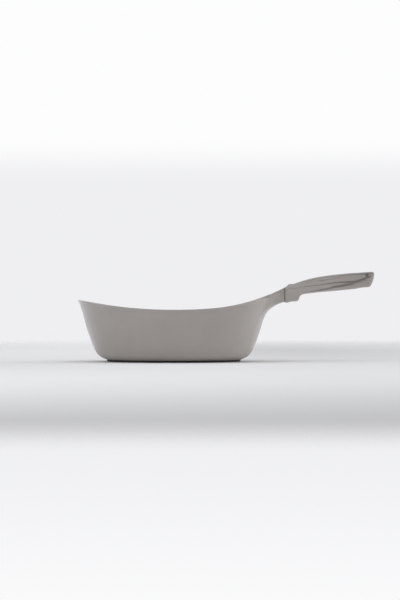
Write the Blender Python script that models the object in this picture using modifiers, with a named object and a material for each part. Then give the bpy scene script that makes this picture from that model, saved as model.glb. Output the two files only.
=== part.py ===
"""A deep cast-aluminium wok with a sculpted rim, a lug that grows out of the rim, and a moulded handle.

The frame has its origin under the middle of the base, +X towards the handle and +Z up. Lengths are in metres.
The casting is one piece: bowl, lug and the tongue that reaches into the handle. A screw from below holds the handle.
"""

import math

import bmesh
import bpy
import numpy as np
from mathutils import Matrix, Vector
from mathutils.geometry import interpolate_bezier

MM = 0.001

# Clearances
SEAT_GAP = 0.25 * MM
RUNNING_GAP = 0.3 * MM
CUT_OVER = 2.0 * MM

# Base of the bowl
FOOT_RADIUS = 102.5 * MM
FOOT_HEIGHT = 2.0 * MM
FOOT_STEP = 1.1 * MM
FLOOR_THICKNESS = 6.0 * MM
FLOOR_INSET = 14.5 * MM
INNER_CORNER_HEIGHT = 22.0 * MM
INNER_CORNER_LEAN = 30.0
INNER_CORNER_REACH = (0.5, 0.3)
FLOOR_LEAN = 88.0

# Wall of the bowl. A lean is an angle from upright, a reach is how far a curve's handle goes along its chord.
SHOULDER_SPREAD = 22.4 * MM
SHOULDER_HEIGHT = 24.0 * MM
SHOULDER_LEAN = 21.3
CORNER_LEAN = 60.0
CORNER_REACH = (0.34, 0.50)
WALL_REACH = (0.68, 0.55)
RIM_LEAN = 20.9
WALL_THICKNESS = 3.2 * MM
RIM_SOFTNESS = 1.6 * MM

# Rim line seen from the side: lowest in the middle, up to both ends, and swept further up into the lug
RIM_RADIUS = 148.6 * MM
RIM_DIP_HEIGHT = 79.6 * MM
RIM_LIFT = 16.4 * MM
RIM_LIFT_POWER = 2.15
RIM_SWEEP = 7.6 * MM
RIM_SWEEP_START = 0.42
RIM_SWEEP_POWER = 2.0

# Lug between the rim and the handle
LUG_REACH = 22.6 * MM
LUG_DEPTH = 21.5 * MM
LUG_ROOT_DEPTH = 39.4 * MM
LUG_HALF_WIDTH = 16.0 * MM
LUG_FILLET = 48.0 * MM
LUG_END_TURN = 19.0
LUG_ROOT_LEAN = 14.5
LUG_END_LEAN = 77.2
LUG_UNDERSIDE_REACH = (0.33, 0.33)
LUG_CHAMFER_WIDTH = 3.0 * MM
LUG_CHAMFER_HEIGHT = 4.2 * MM

# Tongue of the casting, inside the handle
TONGUE_LENGTH = 27.0 * MM
TONGUE_WIDTH = 18.0 * MM
TONGUE_THICKNESS = 10.5 * MM
TONGUE_RISE = 12.2 * MM
TONGUE_SLOPE = 18.0
TONGUE_ROOT = 6.0 * MM
TONGUE_EDGE = 1.5 * MM

# Steel disc under the base, with rings of holes that the aluminium fills
DISC_MARGIN = 12.5 * MM
DISC_THICKNESS = 0.8 * MM
DISC_HOLE_RADIUS = 2.5 * MM
DISC_RING_PITCH = 19.5 * MM
DISC_RIM = 5.0 * MM
HOLES_PER_RING = 6

# Seal between the lug and the handle
GASKET_THICKNESS = 0.8 * MM
GASKET_INSET = 0.8 * MM

# Screw that holds the handle, its washers and the thread insert in the tongue
SCREW_FROM_SEAM = 15.3 * MM
SCREW_RADIUS = 2.5 * MM
SCREW_LENGTH = 16.0 * MM
SCREW_TIP_CHAMFER = 0.6 * MM
SCREW_HEAD_RADIUS = 4.7 * MM
SCREW_HEAD_HEIGHT = 2.8 * MM
SCREW_HEAD_DOME = 0.9 * MM
DRIVE_LENGTH = 5.0 * MM
DRIVE_WIDTH = 1.1 * MM
DRIVE_DEPTH = 1.6 * MM
SCREW_LEDGE = 3.4 * MM
RECESS_CLEARANCE = 1.0 * MM
FLAT_WASHER_WIDTH = 2.3 * MM
FLAT_WASHER_THICKNESS = 1.0 * MM
SPRING_WASHER_WIDTH = 1.9 * MM
SPRING_WASHER_THICKNESS = 1.2 * MM
SPRING_WASHER_SPLIT = 0.9 * MM
INSERT_WALL = 1.2 * MM
INSERT_SET_BACK = 1.8 * MM

# Sections of the grip. Distances are from the seam and heights from the lug's lower edge there:
# (distance and height of the top, distance and height of the underside, half width)
GRIP_SECTIONS = (
    (3.6 * MM, 24.3 * MM, 3.4 * MM, -1.1 * MM, 16.9 * MM),
    (6.7 * MM, 27.5 * MM, 7.0 * MM, -0.6 * MM, 17.0 * MM),
    (9.8 * MM, 28.0 * MM, 9.6 * MM, 0.5 * MM, 16.9 * MM),
    (13.2 * MM, 28.2 * MM, 13.4 * MM, 0.8 * MM, 16.7 * MM),
    (17.2 * MM, 29.1 * MM, 18.0 * MM, 1.0 * MM, 16.4 * MM),
    (20.6 * MM, 30.4 * MM, 20.8 * MM, 1.9 * MM, 16.1 * MM),
    (23.2 * MM, 31.4 * MM, 22.6 * MM, 4.4 * MM, 15.9 * MM),
    (25.4 * MM, 32.0 * MM, 23.8 * MM, 8.0 * MM, 15.7 * MM),
    (28.4 * MM, 32.9 * MM, 26.2 * MM, 10.6 * MM, 15.5 * MM),
    (33.0 * MM, 34.2 * MM, 30.6 * MM, 12.3 * MM, 15.2 * MM),
    (43.9 * MM, 37.1 * MM, 42.0 * MM, 13.8 * MM, 14.7 * MM),
    (56.0 * MM, 39.3 * MM, 56.0 * MM, 15.4 * MM, 14.6 * MM),
    (72.0 * MM, 41.7 * MM, 72.0 * MM, 16.7 * MM, 15.0 * MM),
    (90.0 * MM, 43.6 * MM, 90.0 * MM, 18.4 * MM, 15.8 * MM),
    (104.0 * MM, 44.9 * MM, 104.0 * MM, 19.8 * MM, 16.4 * MM),
    (111.6 * MM, 45.3 * MM, 111.6 * MM, 20.6 * MM, 16.8 * MM),
    (115.4 * MM, 45.5 * MM, 114.8 * MM, 21.7 * MM, 16.9 * MM),
    (124.0 * MM, 46.2 * MM, 122.6 * MM, 22.6 * MM, 16.9 * MM),
    (131.6 * MM, 46.6 * MM, 129.2 * MM, 23.0 * MM, 16.0 * MM),
    (136.2 * MM, 46.7 * MM, 132.2 * MM, 23.9 * MM, 14.4 * MM),
    (138.7 * MM, 45.5 * MM, 134.0 * MM, 25.7 * MM, 12.4 * MM),
    (139.4 * MM, 40.7 * MM, 137.0 * MM, 31.2 * MM, 7.5 * MM),
)
GRIP_FRONT_PROUD = 0.8 * MM
HANG_SLOT_FROM_END = 21.5 * MM
HANG_SLOT_LENGTH = 20.0 * MM
HANG_SLOT_WIDTH = 9.0 * MM

# Finishes, as (colour, roughness, metallic)
COATING = ((0.290, 0.266, 0.250, 1.0), 0.45, 0.0)
PHENOLIC = ((0.318, 0.296, 0.283, 1.0), 0.50, 0.0)
SEAL_BLACK = ((0.020, 0.018, 0.018, 1.0), 0.70, 0.0)
STAINLESS = ((0.560, 0.550, 0.540, 1.0), 0.30, 1.0)
DISC_STEEL = ((0.480, 0.470, 0.460, 1.0), 0.38, 1.0)

# Fineness of the curves and of the casting's cage: counts, shares of a curve, and angles in degrees
ROUND_SIDES = 24
DISC_SIDES = 72
DISC_HOLE_SIDES = 8
HEX_SIDES = 6
CURVE_STEPS = 61
CAGE_LEVELS = 1
LUG_ANGLES = (0.0, 6.0, 12.5, 18.0)
FIRST_BOWL_ANGLE = 24.0
BOWL_COLUMNS = 13
CORNER_SHARES = (0.25, 0.5, 0.75)
WALL_SHARES = (0.0, 0.26, 0.5, 0.66, 0.84)
INNER_SHARES = (0.75, 0.4, 0.1)
INNER_CORNER_SHARES = (0.7, 0.35)
LUG_SECTION_SHARES = ((0.02, 0.36), (0.30, 0.50), (0.55, 0.68), (0.80, 0.85), (1.0, 1.0))
LUG_ROOT_SHARE = 0.26


# Helpers


def clear_scene():
    """Removes what the startup file holds."""
    for obj in list(bpy.data.objects):
        bpy.data.objects.remove(obj, do_unlink=True)


def new_collection(name):
    collection = bpy.data.collections.new(name)
    bpy.context.scene.collection.children.link(collection)
    return collection


def new_material(name, finish):
    colour, roughness, metallic = finish
    material = bpy.data.materials.new(name)
    material.use_nodes = True
    shader = material.node_tree.nodes["Principled BSDF"]
    shader.inputs["Base Color"].default_value = colour
    shader.inputs["Roughness"].default_value = roughness
    shader.inputs["Metallic"].default_value = metallic
    return material


def mesh_object(name, build, collection):
    """A linked object whose mesh the function build fills through bmesh."""
    mesh = bpy.data.meshes.new(name)
    bm = bmesh.new()
    build(bm)
    bmesh.ops.recalc_face_normals(bm, faces=bm.faces)
    bm.to_mesh(mesh)
    bm.free()
    obj = bpy.data.objects.new(name, mesh)
    collection.objects.link(obj)
    return obj


def cylinder(name, radius, low, high, collection, place=(0.0, 0.0), sides=ROUND_SIDES):
    """An upright cylinder from height low to height high."""

    def build(bm):
        bmesh.ops.create_cone(
            bm, cap_ends=True, segments=sides, radius1=radius, radius2=radius, depth=high - low
        )

    obj = mesh_object(name, build, collection)
    obj.location = (*place, (low + high) / 2)
    return obj


def box(name, size, centre, collection, tilt=0.0, edge=0.0):
    """A box of that size, tilted up towards +X by tilt degrees, with its edges rounded by edge."""

    def build(bm):
        bmesh.ops.create_cube(bm, size=1.0, matrix=Matrix.Diagonal((*size, 1.0)))

    obj = mesh_object(name, build, collection)
    obj.location = centre
    obj.rotation_euler = (0.0, -math.radians(tilt), 0.0)
    if edge:
        bevel = obj.modifiers.new("soft edges", "BEVEL")
        bevel.width = edge
        bevel.segments = 2
    return obj


def turned(name, profile, collection, place):
    """A solid turned about its own upright axis from (radius, height) points, listed top to bottom."""
    mesh = bpy.data.meshes.new(name)
    mesh.from_pydata([(r, 0.0, z) for r, z in profile], [(i, i + 1) for i in range(len(profile) - 1)], [])
    obj = bpy.data.objects.new(name, mesh)
    obj.location = (*place, 0.0)
    collection.objects.link(obj)
    turn = obj.modifiers.new("turn", "SCREW")
    turn.steps = ROUND_SIDES
    turn.render_steps = ROUND_SIDES
    turn.use_merge_vertices = True
    turn.merge_threshold = 0.01 * MM
    turn.use_smooth_shade = False
    return obj


def boolean(obj, other, operation, name):
    other.hide_render = True
    other.display_type = "WIRE"
    modifier = obj.modifiers.new(name, "BOOLEAN")
    modifier.operation = operation
    modifier.object = other
    modifier.solver = "EXACT"


def cut(obj, cutter):
    boolean(obj, cutter, "DIFFERENCE", "cut " + cutter.name)


def join(obj, piece):
    boolean(obj, piece, "UNION", "join " + piece.name)


def mirror_and_subdivide(obj):
    """Mirrors a half that is open at the XZ plane, then smooths the cage."""
    mirror = obj.modifiers.new("other half", "MIRROR")
    mirror.use_axis = (False, True, False)
    mirror.merge_threshold = 0.05 * MM
    smooth = obj.modifiers.new("smooth cage", "SUBSURF")
    smooth.levels = CAGE_LEVELS
    smooth.render_levels = CAGE_LEVELS
    obj.data.shade_smooth()


def bridge(bm, here, there):
    """Quads between two rows of verts of one length."""
    for k in range(len(here) - 1):
        bm.faces.new((here[k], here[k + 1], there[k + 1], there[k]))


def crease_row(bm, verts):
    """Keeps the edges along a row of verts sharp when the cage is smoothed."""
    crease = bm.edges.layers.float.get("crease_edge") or bm.edges.layers.float.new("crease_edge")
    for a, b in zip(verts, verts[1:]):
        bm.edges.get((a, b))[crease] = 1.0


def curve_points(start, start_handle, end_handle, end):
    """Points of one Bezier curve in a plane, as an array of pairs."""
    corners = [Vector((*p, 0.0)) for p in (start, start_handle, end_handle, end)]
    return np.array([(p.x, p.y) for p in interpolate_bezier(*corners, CURVE_STEPS)])


def leaning_curve(start, start_lean, end, end_lean, reach):
    """A curve that leaves start and reaches end at the given angles from upright."""
    start, end = np.array(start), np.array(end)
    leans = np.radians((start_lean, end_lean))
    first, last = np.linalg.norm(end - start) * np.stack([reach * np.sin(leans), reach * np.cos(leans)], axis=1)
    return curve_points(start, start + first, end - last, end)


def along(curve, share):
    """The point at that share of a curve's steps."""
    return tuple(curve[round(share * (len(curve) - 1))])


def sharpened(points):
    """Control points whose smoothed curve passes close to the given points."""
    points = np.array(points)
    control = points.copy()
    control[1:-1] -= (points[:-2] - 2 * points[1:-1] + points[2:]) / 6
    return [tuple(p) for p in control]


# Shape of the bowl wall and of the rim


def corner_curve():
    """The outside from the foot to the shoulder, as (radius, height)."""
    start = (FOOT_RADIUS + FOOT_STEP, FOOT_HEIGHT)
    shoulder = (FOOT_RADIUS + SHOULDER_SPREAD, SHOULDER_HEIGHT)
    return leaning_curve(start, CORNER_LEAN, shoulder, SHOULDER_LEAN, CORNER_REACH)


def outer_wall():
    """The outside from the foot to the rim, then straight on above it, as (radius, height)."""
    corner = corner_curve()
    tip_height = RIM_DIP_HEIGHT + RIM_LIFT
    wall = leaning_curve(corner[-1], SHOULDER_LEAN, (RIM_RADIUS, tip_height), RIM_LEAN, WALL_REACH)
    beyond = wall[-1] + tip_height * np.array((math.tan(math.radians(RIM_LEAN)), 1.0))
    return np.concatenate([corner[:-1], wall, [beyond]])


def inner_wall():
    """The inside of the wall: the outside moved in by the wall's thickness, square to the surface."""
    outer = outer_wall()
    forward = np.gradient(outer, axis=0)
    forward /= np.linalg.norm(forward, axis=1)[:, None]
    return outer + WALL_THICKNESS * np.stack([-forward[:, 1], forward[:, 0]], axis=1)


def radius_at(wall, height):
    return float(np.interp(height, wall[:, 1], wall[:, 0]))


def rim_height(x):
    """Height of the rim, and of the lug's top behind it, at a distance x towards the handle."""
    share = x / RIM_RADIUS
    sweep = max(share - RIM_SWEEP_START, 0.0) / (1.0 - RIM_SWEEP_START)
    return RIM_DIP_HEIGHT + RIM_LIFT * abs(share) ** RIM_LIFT_POWER + RIM_SWEEP * sweep**RIM_SWEEP_POWER


def rim_point(wall, angle):
    """Where that wall meets the rim at an angle round the bowl, as (radius, height)."""
    height = RIM_DIP_HEIGHT
    for _ in range(CURVE_STEPS):
        height = rim_height(radius_at(wall, height) * math.cos(angle))
    return radius_at(wall, height), height


# Shape of the lug and the tongue, and places that the handle's pieces share


def seam_x():
    return RIM_RADIUS + LUG_REACH


def seam_top():
    return rim_height(seam_x())


def seam_low():
    return seam_top() - LUG_DEPTH


def lug_underside():
    """The middle of the lug's underside from the wall to the seam, as (distance, height)."""
    root_height = rim_height(RIM_RADIUS) - LUG_ROOT_DEPTH
    root = (radius_at(outer_wall(), root_height), root_height)
    end = (seam_x(), seam_low())
    return leaning_curve(root, LUG_ROOT_LEAN, end, LUG_END_LEAN, LUG_UNDERSIDE_REACH)


def lug_half_width(x):
    """Half the width of the lug, seen from above: a round fillet that still opens a little at the seam."""
    turn = math.radians(LUG_END_TURN)
    back = min(seam_x() - x + LUG_FILLET * math.sin(turn), LUG_FILLET)
    return LUG_HALF_WIDTH + LUG_FILLET * math.cos(turn) - math.sqrt(LUG_FILLET**2 - back**2)


def half_section(top_x, top, low_x, low, half_width):
    """Half a section of the lug, from the middle of its top round its side to the middle of its underside."""
    chamfer = LUG_CHAMFER_HEIGHT / (top - low)
    side = (
        (0.0, 0.0),
        (0.45 * half_width, 0.0),
        (half_width - LUG_CHAMFER_WIDTH, 0.0),
        (half_width - 0.4 * LUG_CHAMFER_WIDTH, 0.4 * chamfer),
        (half_width, 1.1 * chamfer),
        (half_width, 0.52),
        (0.94 * half_width, 0.78),
        (0.68 * half_width, 0.94),
        (0.34 * half_width, 0.99),
        (0.0, 1.0),
    )
    return [(top_x + share * (low_x - top_x), y, top + share * (low - top)) for y, share in side]


def lug_underside_points():
    """Where the middle of the underside leaves the wall, then where each section of the lug meets it."""
    shares = (0.0, LUG_ROOT_SHARE, *(low_share for _, low_share in LUG_SECTION_SHARES))
    return sharpened([along(lug_underside(), share) for share in shares])[1:]


def lug_sections():
    """Sections of the lug from the rim to the seam. They lean, because the underside starts closer to the bowl."""
    sections = []
    for (top_share, _), (low_x, low) in zip(LUG_SECTION_SHARES, lug_underside_points()[1:]):
        top_x = RIM_RADIUS + top_share * LUG_REACH
        width = lug_half_width((top_x + low_x) / 2)
        sections.append(half_section(top_x, rim_height(top_x), low_x, low, width))
    return sections


def tongue_middle(x):
    """Height of the tongue's centre line at a distance x."""
    return seam_low() + TONGUE_RISE + (x - seam_x()) * math.tan(math.radians(TONGUE_SLOPE))


def tongue_half_height():
    """Half the tongue's thickness, measured upright."""
    return TONGUE_THICKNESS / 2 / math.cos(math.radians(TONGUE_SLOPE))


def tongue_box(name, grow, collection):
    """The tongue's box, larger by grow on every side, from inside the lug to its tip in the handle."""
    slope = math.radians(TONGUE_SLOPE)
    direction = Vector((math.cos(slope), 0.0, math.sin(slope)))
    length = TONGUE_ROOT + TONGUE_LENGTH
    middle = Vector((seam_x(), 0.0, tongue_middle(seam_x()))) + (length / 2 - TONGUE_ROOT) * direction
    size = (length + 2 * grow, TONGUE_WIDTH + 2 * grow, TONGUE_THICKNESS + 2 * grow)
    return box(name, size, middle, collection, TONGUE_SLOPE, TONGUE_EDGE + grow)


def screw_place():
    return (seam_x() + SCREW_FROM_SEAM, 0.0)


def recess_top():
    """The ledge in the handle that the flat washer presses on."""
    tongue_low = tongue_middle(screw_place()[0]) - tongue_half_height()
    return tongue_low - RUNNING_GAP - SCREW_LEDGE


def flat_washer_low():
    return recess_top() - SEAT_GAP - FLAT_WASHER_THICKNESS


def spring_washer_low():
    return flat_washer_low() - SEAT_GAP - SPRING_WASHER_THICKNESS


def screw_seat():
    return spring_washer_low() - SEAT_GAP


def washer_bore():
    return SCREW_RADIUS + RUNNING_GAP


def insert_radius():
    """The thread insert is six-sided, so its corners stand further out than its wall."""
    return (SCREW_RADIUS + SEAT_GAP + INSERT_WALL) / math.cos(math.pi / HEX_SIDES)


# Casting

FOOT_ROWS = 2
LUG_COLUMNS = len(LUG_ANGLES) - 1
LUG_LOW_ROW = FOOT_ROWS + len(CORNER_SHARES) + len(WALL_SHARES) - 2
RIM_ROW = LUG_LOW_ROW + 3


def cage_column(angle):
    """One column of the cage, from the foot over the rim to the floor, as (radius, height)."""
    outer, inner, corner = outer_wall(), inner_wall(), corner_curve()
    rim, inside = rim_point(outer, angle), rim_point(inner, angle)
    rise = [SHOULDER_HEIGHT + share * (rim[1] - SHOULDER_HEIGHT) for share in WALL_SHARES]
    rise.append(rim[1] - RIM_SOFTNESS)
    outside = [(FOOT_RADIUS, FOOT_HEIGHT), *(along(corner, share) for share in CORNER_SHARES)]
    outside += [(radius_at(outer, height), height) for height in rise]
    fall = [inside[1] - RIM_SOFTNESS]
    fall += [INNER_CORNER_HEIGHT + share * (inside[1] - INNER_CORNER_HEIGHT) for share in INNER_SHARES]
    down = [inside, *((radius_at(inner, height), height) for height in fall)]
    floor_edge = (FOOT_RADIUS - FLOOR_INSET, FLOOR_THICKNESS)
    wall_end = (radius_at(inner, INNER_CORNER_HEIGHT), INNER_CORNER_HEIGHT)
    bend = leaning_curve(floor_edge, FLOOR_LEAN, wall_end, INNER_CORNER_LEAN, INNER_CORNER_REACH)
    down += [along(bend, share) for share in INNER_CORNER_SHARES]
    return [(FOOT_RADIUS, 0.0), *sharpened([*outside, rim]), *sharpened([*down, floor_edge])]


def column_verts(bm, angle, swell):
    """The verts of one column. The swell makes up for what smoothing round the bowl takes off."""
    turn = math.radians(angle)
    across = 0.0 if angle in (0.0, 180.0) else math.sin(turn)
    return [
        bm.verts.new((radius * swell * math.cos(turn), radius * swell * across, height))
        for radius, height in cage_column(turn)
    ]


def build_casting_cage(bm):
    """Half the bowl as a grid with a gap where the lug leaves it, then the lug's rings from that gap to the seam."""
    angles = [*LUG_ANGLES, *np.linspace(FIRST_BOWL_ANGLE, 180.0, BOWL_COLUMNS + 1)]
    swells = 6 / (4 + 2 * np.cos(np.gradient(np.radians(angles))))
    grid = [column_verts(bm, angle, swell) for angle, swell in zip(angles, swells)]
    root_x, root_height = lug_underside_points()[0]
    shift = root_x - radius_at(outer_wall(), root_height)
    for column in grid[:LUG_COLUMNS]:
        column[LUG_LOW_ROW - 1].co.x -= shift / 6
        column[LUG_LOW_ROW].co.x += shift
        column[LUG_LOW_ROW].co.z = root_height
    for here, there in zip(grid[:LUG_COLUMNS], grid[1:]):
        bridge(bm, here[: LUG_LOW_ROW + 1], there[: LUG_LOW_ROW + 1])
        bridge(bm, here[RIM_ROW:], there[RIM_ROW:])
    for here, there in zip(grid[LUG_COLUMNS:], grid[LUG_COLUMNS + 1 :]):
        bridge(bm, here, there)
    under = bm.verts.new((0.0, 0.0, 0.0))
    floor = bm.verts.new((0.0, 0.0, FLOOR_THICKNESS))
    for here, there in zip(grid, grid[1:]):
        bm.faces.new((under, here[0], there[0]))
        bm.faces.new((floor, there[-1], here[-1]))
    root = [column[RIM_ROW] for column in grid[: LUG_COLUMNS + 1]]
    root += grid[LUG_COLUMNS][RIM_ROW - 1 : LUG_LOW_ROW - 1 : -1]
    root += [column[LUG_LOW_ROW] for column in reversed(grid[:LUG_COLUMNS])]
    rings = [root] + [[bm.verts.new(p) for p in section] for section in lug_sections()]
    for here, there in zip(rings, rings[1:]):
        bridge(bm, here, there)
    bm.faces.new(rings[-1])
    crease_row(bm, rings[-1])
    for row in range(FOOT_ROWS):
        crease_row(bm, [column[row] for column in grid])


def make_casting(parts, cutters):
    casting = mesh_object("wok_body", build_casting_cage, parts)
    mirror_and_subdivide(casting)
    join(casting, tongue_box("tongue", 0.0, cutters))
    middle = tongue_middle(screw_place()[0])
    low, high = middle - 2 * tongue_half_height(), middle + 2 * tongue_half_height()
    radius = insert_radius() + RUNNING_GAP
    cut(casting, cylinder("insert_pocket", radius, low, high, cutters, screw_place(), HEX_SIDES))
    radius = disc_radius() + RUNNING_GAP
    recess = cylinder("disc_recess", radius, -CUT_OVER, DISC_THICKNESS + SEAT_GAP, cutters, sides=DISC_SIDES)
    cut(recess, disc_pegs("studs", DISC_HOLE_RADIUS - RUNNING_GAP, cutters))
    cut(casting, recess)
    return casting


# Steel disc


def disc_radius():
    return FOOT_RADIUS - DISC_MARGIN


def disc_pegs(name, radius, collection):
    """Upright pegs at the disc's holes: ring after ring, each with a few more than the one inside it."""

    def build(bm):
        rings = int((disc_radius() - DISC_RIM) / DISC_RING_PITCH)
        for ring in range(1, rings + 1):
            count = HOLES_PER_RING * ring
            out = Matrix.Translation((ring * DISC_RING_PITCH, 0.0, 0.0))
            for k in range(count):
                bmesh.ops.create_cone(
                    bm,
                    cap_ends=True,
                    segments=DISC_HOLE_SIDES,
                    radius1=radius,
                    radius2=radius,
                    depth=4 * (CUT_OVER + DISC_THICKNESS),
                    matrix=Matrix.Rotation(2 * math.pi * k / count, 4, "Z") @ out,
                )

    return mesh_object(name, build, collection)


def make_disc(parts, cutters):
    disc = cylinder("induction_disc", disc_radius(), 0.0, DISC_THICKNESS, parts, sides=DISC_SIDES)
    cut(disc, disc_pegs("disc_holes", DISC_HOLE_RADIUS, cutters))
    return disc


# Handle


def grip_half_section(top_x, top, low_x, low, half_width):
    """Half a section of the grip: flat sides with well-rounded corners."""
    outline = (
        (0.0, 0.0),
        (0.55, 0.0),
        (0.92, 0.09),
        (1.0, 0.32),
        (1.0, 0.68),
        (0.92, 0.91),
        (0.55, 1.0),
        (0.0, 1.0),
    )
    return [(top_x + z * (low_x - top_x), y * half_width, top + z * (low - top)) for y, z in outline]


def build_grip_cage(bm):
    """Half the grip: rings along it from a flat front to a rounded tail."""
    front = seam_x() + GASKET_THICKNESS + 2 * SEAT_GAP
    proud = GRIP_FRONT_PROUD
    sections = [(front, rim_height(front) + proud / 2, front, seam_low() - proud, LUG_HALF_WIDTH + proud)]
    sections += [
        (seam_x() + top_x, seam_low() + top, seam_x() + low_x, seam_low() + low, half_width)
        for top_x, top, low_x, low, half_width in GRIP_SECTIONS
    ]
    rings = [[bm.verts.new(p) for p in grip_half_section(*section)] for section in sharpened(sections)]
    for here, there in zip(rings, rings[1:]):
        bridge(bm, here, there)
    bm.faces.new(rings[0])
    bm.faces.new(rings[-1])
    crease_row(bm, rings[0])


def hang_slot(collection):
    """An upright slot with round ends, through the tail."""
    end, top = GRIP_SECTIONS[-1][:2]

    def build(bm):
        size = (HANG_SLOT_LENGTH, HANG_SLOT_WIDTH, 2 * top)
        bmesh.ops.create_cube(bm, size=1.0, matrix=Matrix.Diagonal((*size, 1.0)))
        upright = [e for e in bm.edges if e.verts[0].co.xy == e.verts[1].co.xy]
        radius = 0.49 * HANG_SLOT_WIDTH
        bmesh.ops.bevel(bm, geom=upright, offset=radius, segments=5, profile=0.5, affect="EDGES")

    slot = mesh_object("hang_slot", build, collection)
    slot.location = (seam_x() + end - HANG_SLOT_FROM_END, 0.0, seam_low() + top)
    return slot


def make_grip(parts, cutters):
    grip = mesh_object("handle_grip", build_grip_cage, parts)
    mirror_and_subdivide(grip)
    cut(grip, tongue_box("socket", RUNNING_GAP, cutters))
    low = seam_low() - GRIP_FRONT_PROUD - CUT_OVER
    radius = washer_bore() + FLAT_WASHER_WIDTH + RECESS_CLEARANCE
    cut(grip, cylinder("screw_recess", radius, low, recess_top(), cutters, screw_place()))
    high = screw_seat() + SCREW_LENGTH + RUNNING_GAP
    cut(grip, cylinder("screw_hole", washer_bore(), low, high, cutters, screw_place()))
    cut(grip, hang_slot(cutters))
    return grip


def make_gasket(parts, cutters):
    """A thin plate of the lug's end section, drawn in a little, with a window for the tongue."""
    x = seam_x() + SEAT_GAP
    half = half_section(
        x, seam_top() - GASKET_INSET, x, seam_low() + GASKET_INSET, LUG_HALF_WIDTH - GASKET_INSET
    )[1:-1]
    outline = half + [(px, -py, pz) for px, py, pz in reversed(half)]

    def build(bm):
        face = bm.faces.new([bm.verts.new(p) for p in outline])
        grown = bmesh.ops.extrude_face_region(bm, geom=[face])
        moved = [v for v in grown["geom"] if isinstance(v, bmesh.types.BMVert)]
        bmesh.ops.translate(bm, verts=moved, vec=(GASKET_THICKNESS, 0.0, 0.0))

    gasket = mesh_object("handle_gasket", build, parts)
    cut(gasket, tongue_box("gasket_window", RUNNING_GAP, cutters))
    return gasket


# Screw, washers and insert


def make_screw(parts, cutters):
    seat = screw_seat()
    tip = seat + SCREW_LENGTH
    face = seat - SCREW_HEAD_HEIGHT
    profile = (
        (0.0, tip),
        (SCREW_RADIUS - SCREW_TIP_CHAMFER, tip),
        (SCREW_RADIUS, tip - SCREW_TIP_CHAMFER),
        (SCREW_RADIUS, seat),
        (SCREW_HEAD_RADIUS, seat),
        (SCREW_HEAD_RADIUS, face + SCREW_HEAD_DOME),
        (SCREW_HEAD_RADIUS - SCREW_HEAD_DOME, face + SCREW_HEAD_DOME / 4),
        (0.0, face),
    )
    screw = turned("handle_screw", profile, parts, screw_place())
    for turn, name in ((45.0, "drive_slot_a"), (135.0, "drive_slot_b")):
        slot = box(name, (DRIVE_LENGTH, DRIVE_WIDTH, 2 * DRIVE_DEPTH), (*screw_place(), face), cutters)
        slot.rotation_euler = (0.0, 0.0, math.radians(turn))
        cut(screw, slot)
    return screw


def make_washer(name, width, low, thickness, parts, cutters):
    """A ring that the screw passes through."""
    high = low + thickness
    ring = cylinder(name, washer_bore() + width, low, high, parts, screw_place())
    cut(ring, cylinder(name + "_bore", washer_bore(), low - CUT_OVER, high + CUT_OVER, cutters, screw_place()))
    return ring


def make_flat_washer(parts, cutters):
    low = flat_washer_low()
    return make_washer("flat_washer", FLAT_WASHER_WIDTH, low, FLAT_WASHER_THICKNESS, parts, cutters)


def make_spring_washer(parts, cutters):
    low = spring_washer_low()
    ring = make_washer("spring_washer", SPRING_WASHER_WIDTH, low, SPRING_WASHER_THICKNESS, parts, cutters)
    reach = 2 * (washer_bore() + SPRING_WASHER_WIDTH)
    x, y = screw_place()
    size = (reach, SPRING_WASHER_SPLIT, 2 * (CUT_OVER + SPRING_WASHER_THICKNESS))
    cut(ring, box("washer_split", size, (x + reach / 2, y, low), cutters))
    return ring


def make_insert(parts, cutters):
    """The steel thread that the screw bites in, cast into the tongue and set back from both its faces."""
    middle = tongue_middle(screw_place()[0])
    reach = tongue_half_height() - INSERT_SET_BACK
    low, high = middle - reach, middle + reach
    insert = cylinder("thread_insert", insert_radius(), low, high, parts, screw_place(), HEX_SIDES)
    radius = SCREW_RADIUS + SEAT_GAP
    cut(insert, cylinder("insert_bore", radius, low - CUT_OVER, high + CUT_OVER, cutters, screw_place()))
    return insert


PIECES = (
    (make_casting, "coating", COATING),
    (make_disc, "disc_steel", DISC_STEEL),
    (make_grip, "phenolic", PHENOLIC),
    (make_gasket, "seal", SEAL_BLACK),
    (make_screw, "screw_steel", STAINLESS),
    (make_flat_washer, "flat_washer_steel", STAINLESS),
    (make_spring_washer, "spring_washer_steel", STAINLESS),
    (make_insert, "insert_steel", STAINLESS),
)


def main():
    clear_scene()
    parts = new_collection("wok")
    cutters = new_collection("cutters")
    for make, finish_name, finish in PIECES:
        make(parts, cutters).data.materials.append(new_material(finish_name, finish))
    bpy.context.view_layer.update()


main()
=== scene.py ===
# %% [markdown]
# # Dressing a deep wok
#
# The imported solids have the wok's true sizes and its joints between pieces. This lesson gives them the look
# of the real thing: a casting with soft lips and a satin stone-grey coating, a moulded handle with a
# wood-grain print, a turned steel base and a plain studio. Lengths are in metres, +X points to the handle
# and +Z up.

# %% Load the frame
from math import atan2, copysign, cos, degrees, hypot, pi, radians, sin, sqrt, tan

import bmesh
import bpy
import numpy as np
from mathutils import Matrix, Vector
from mathutils.geometry import interpolate_bezier


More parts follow.
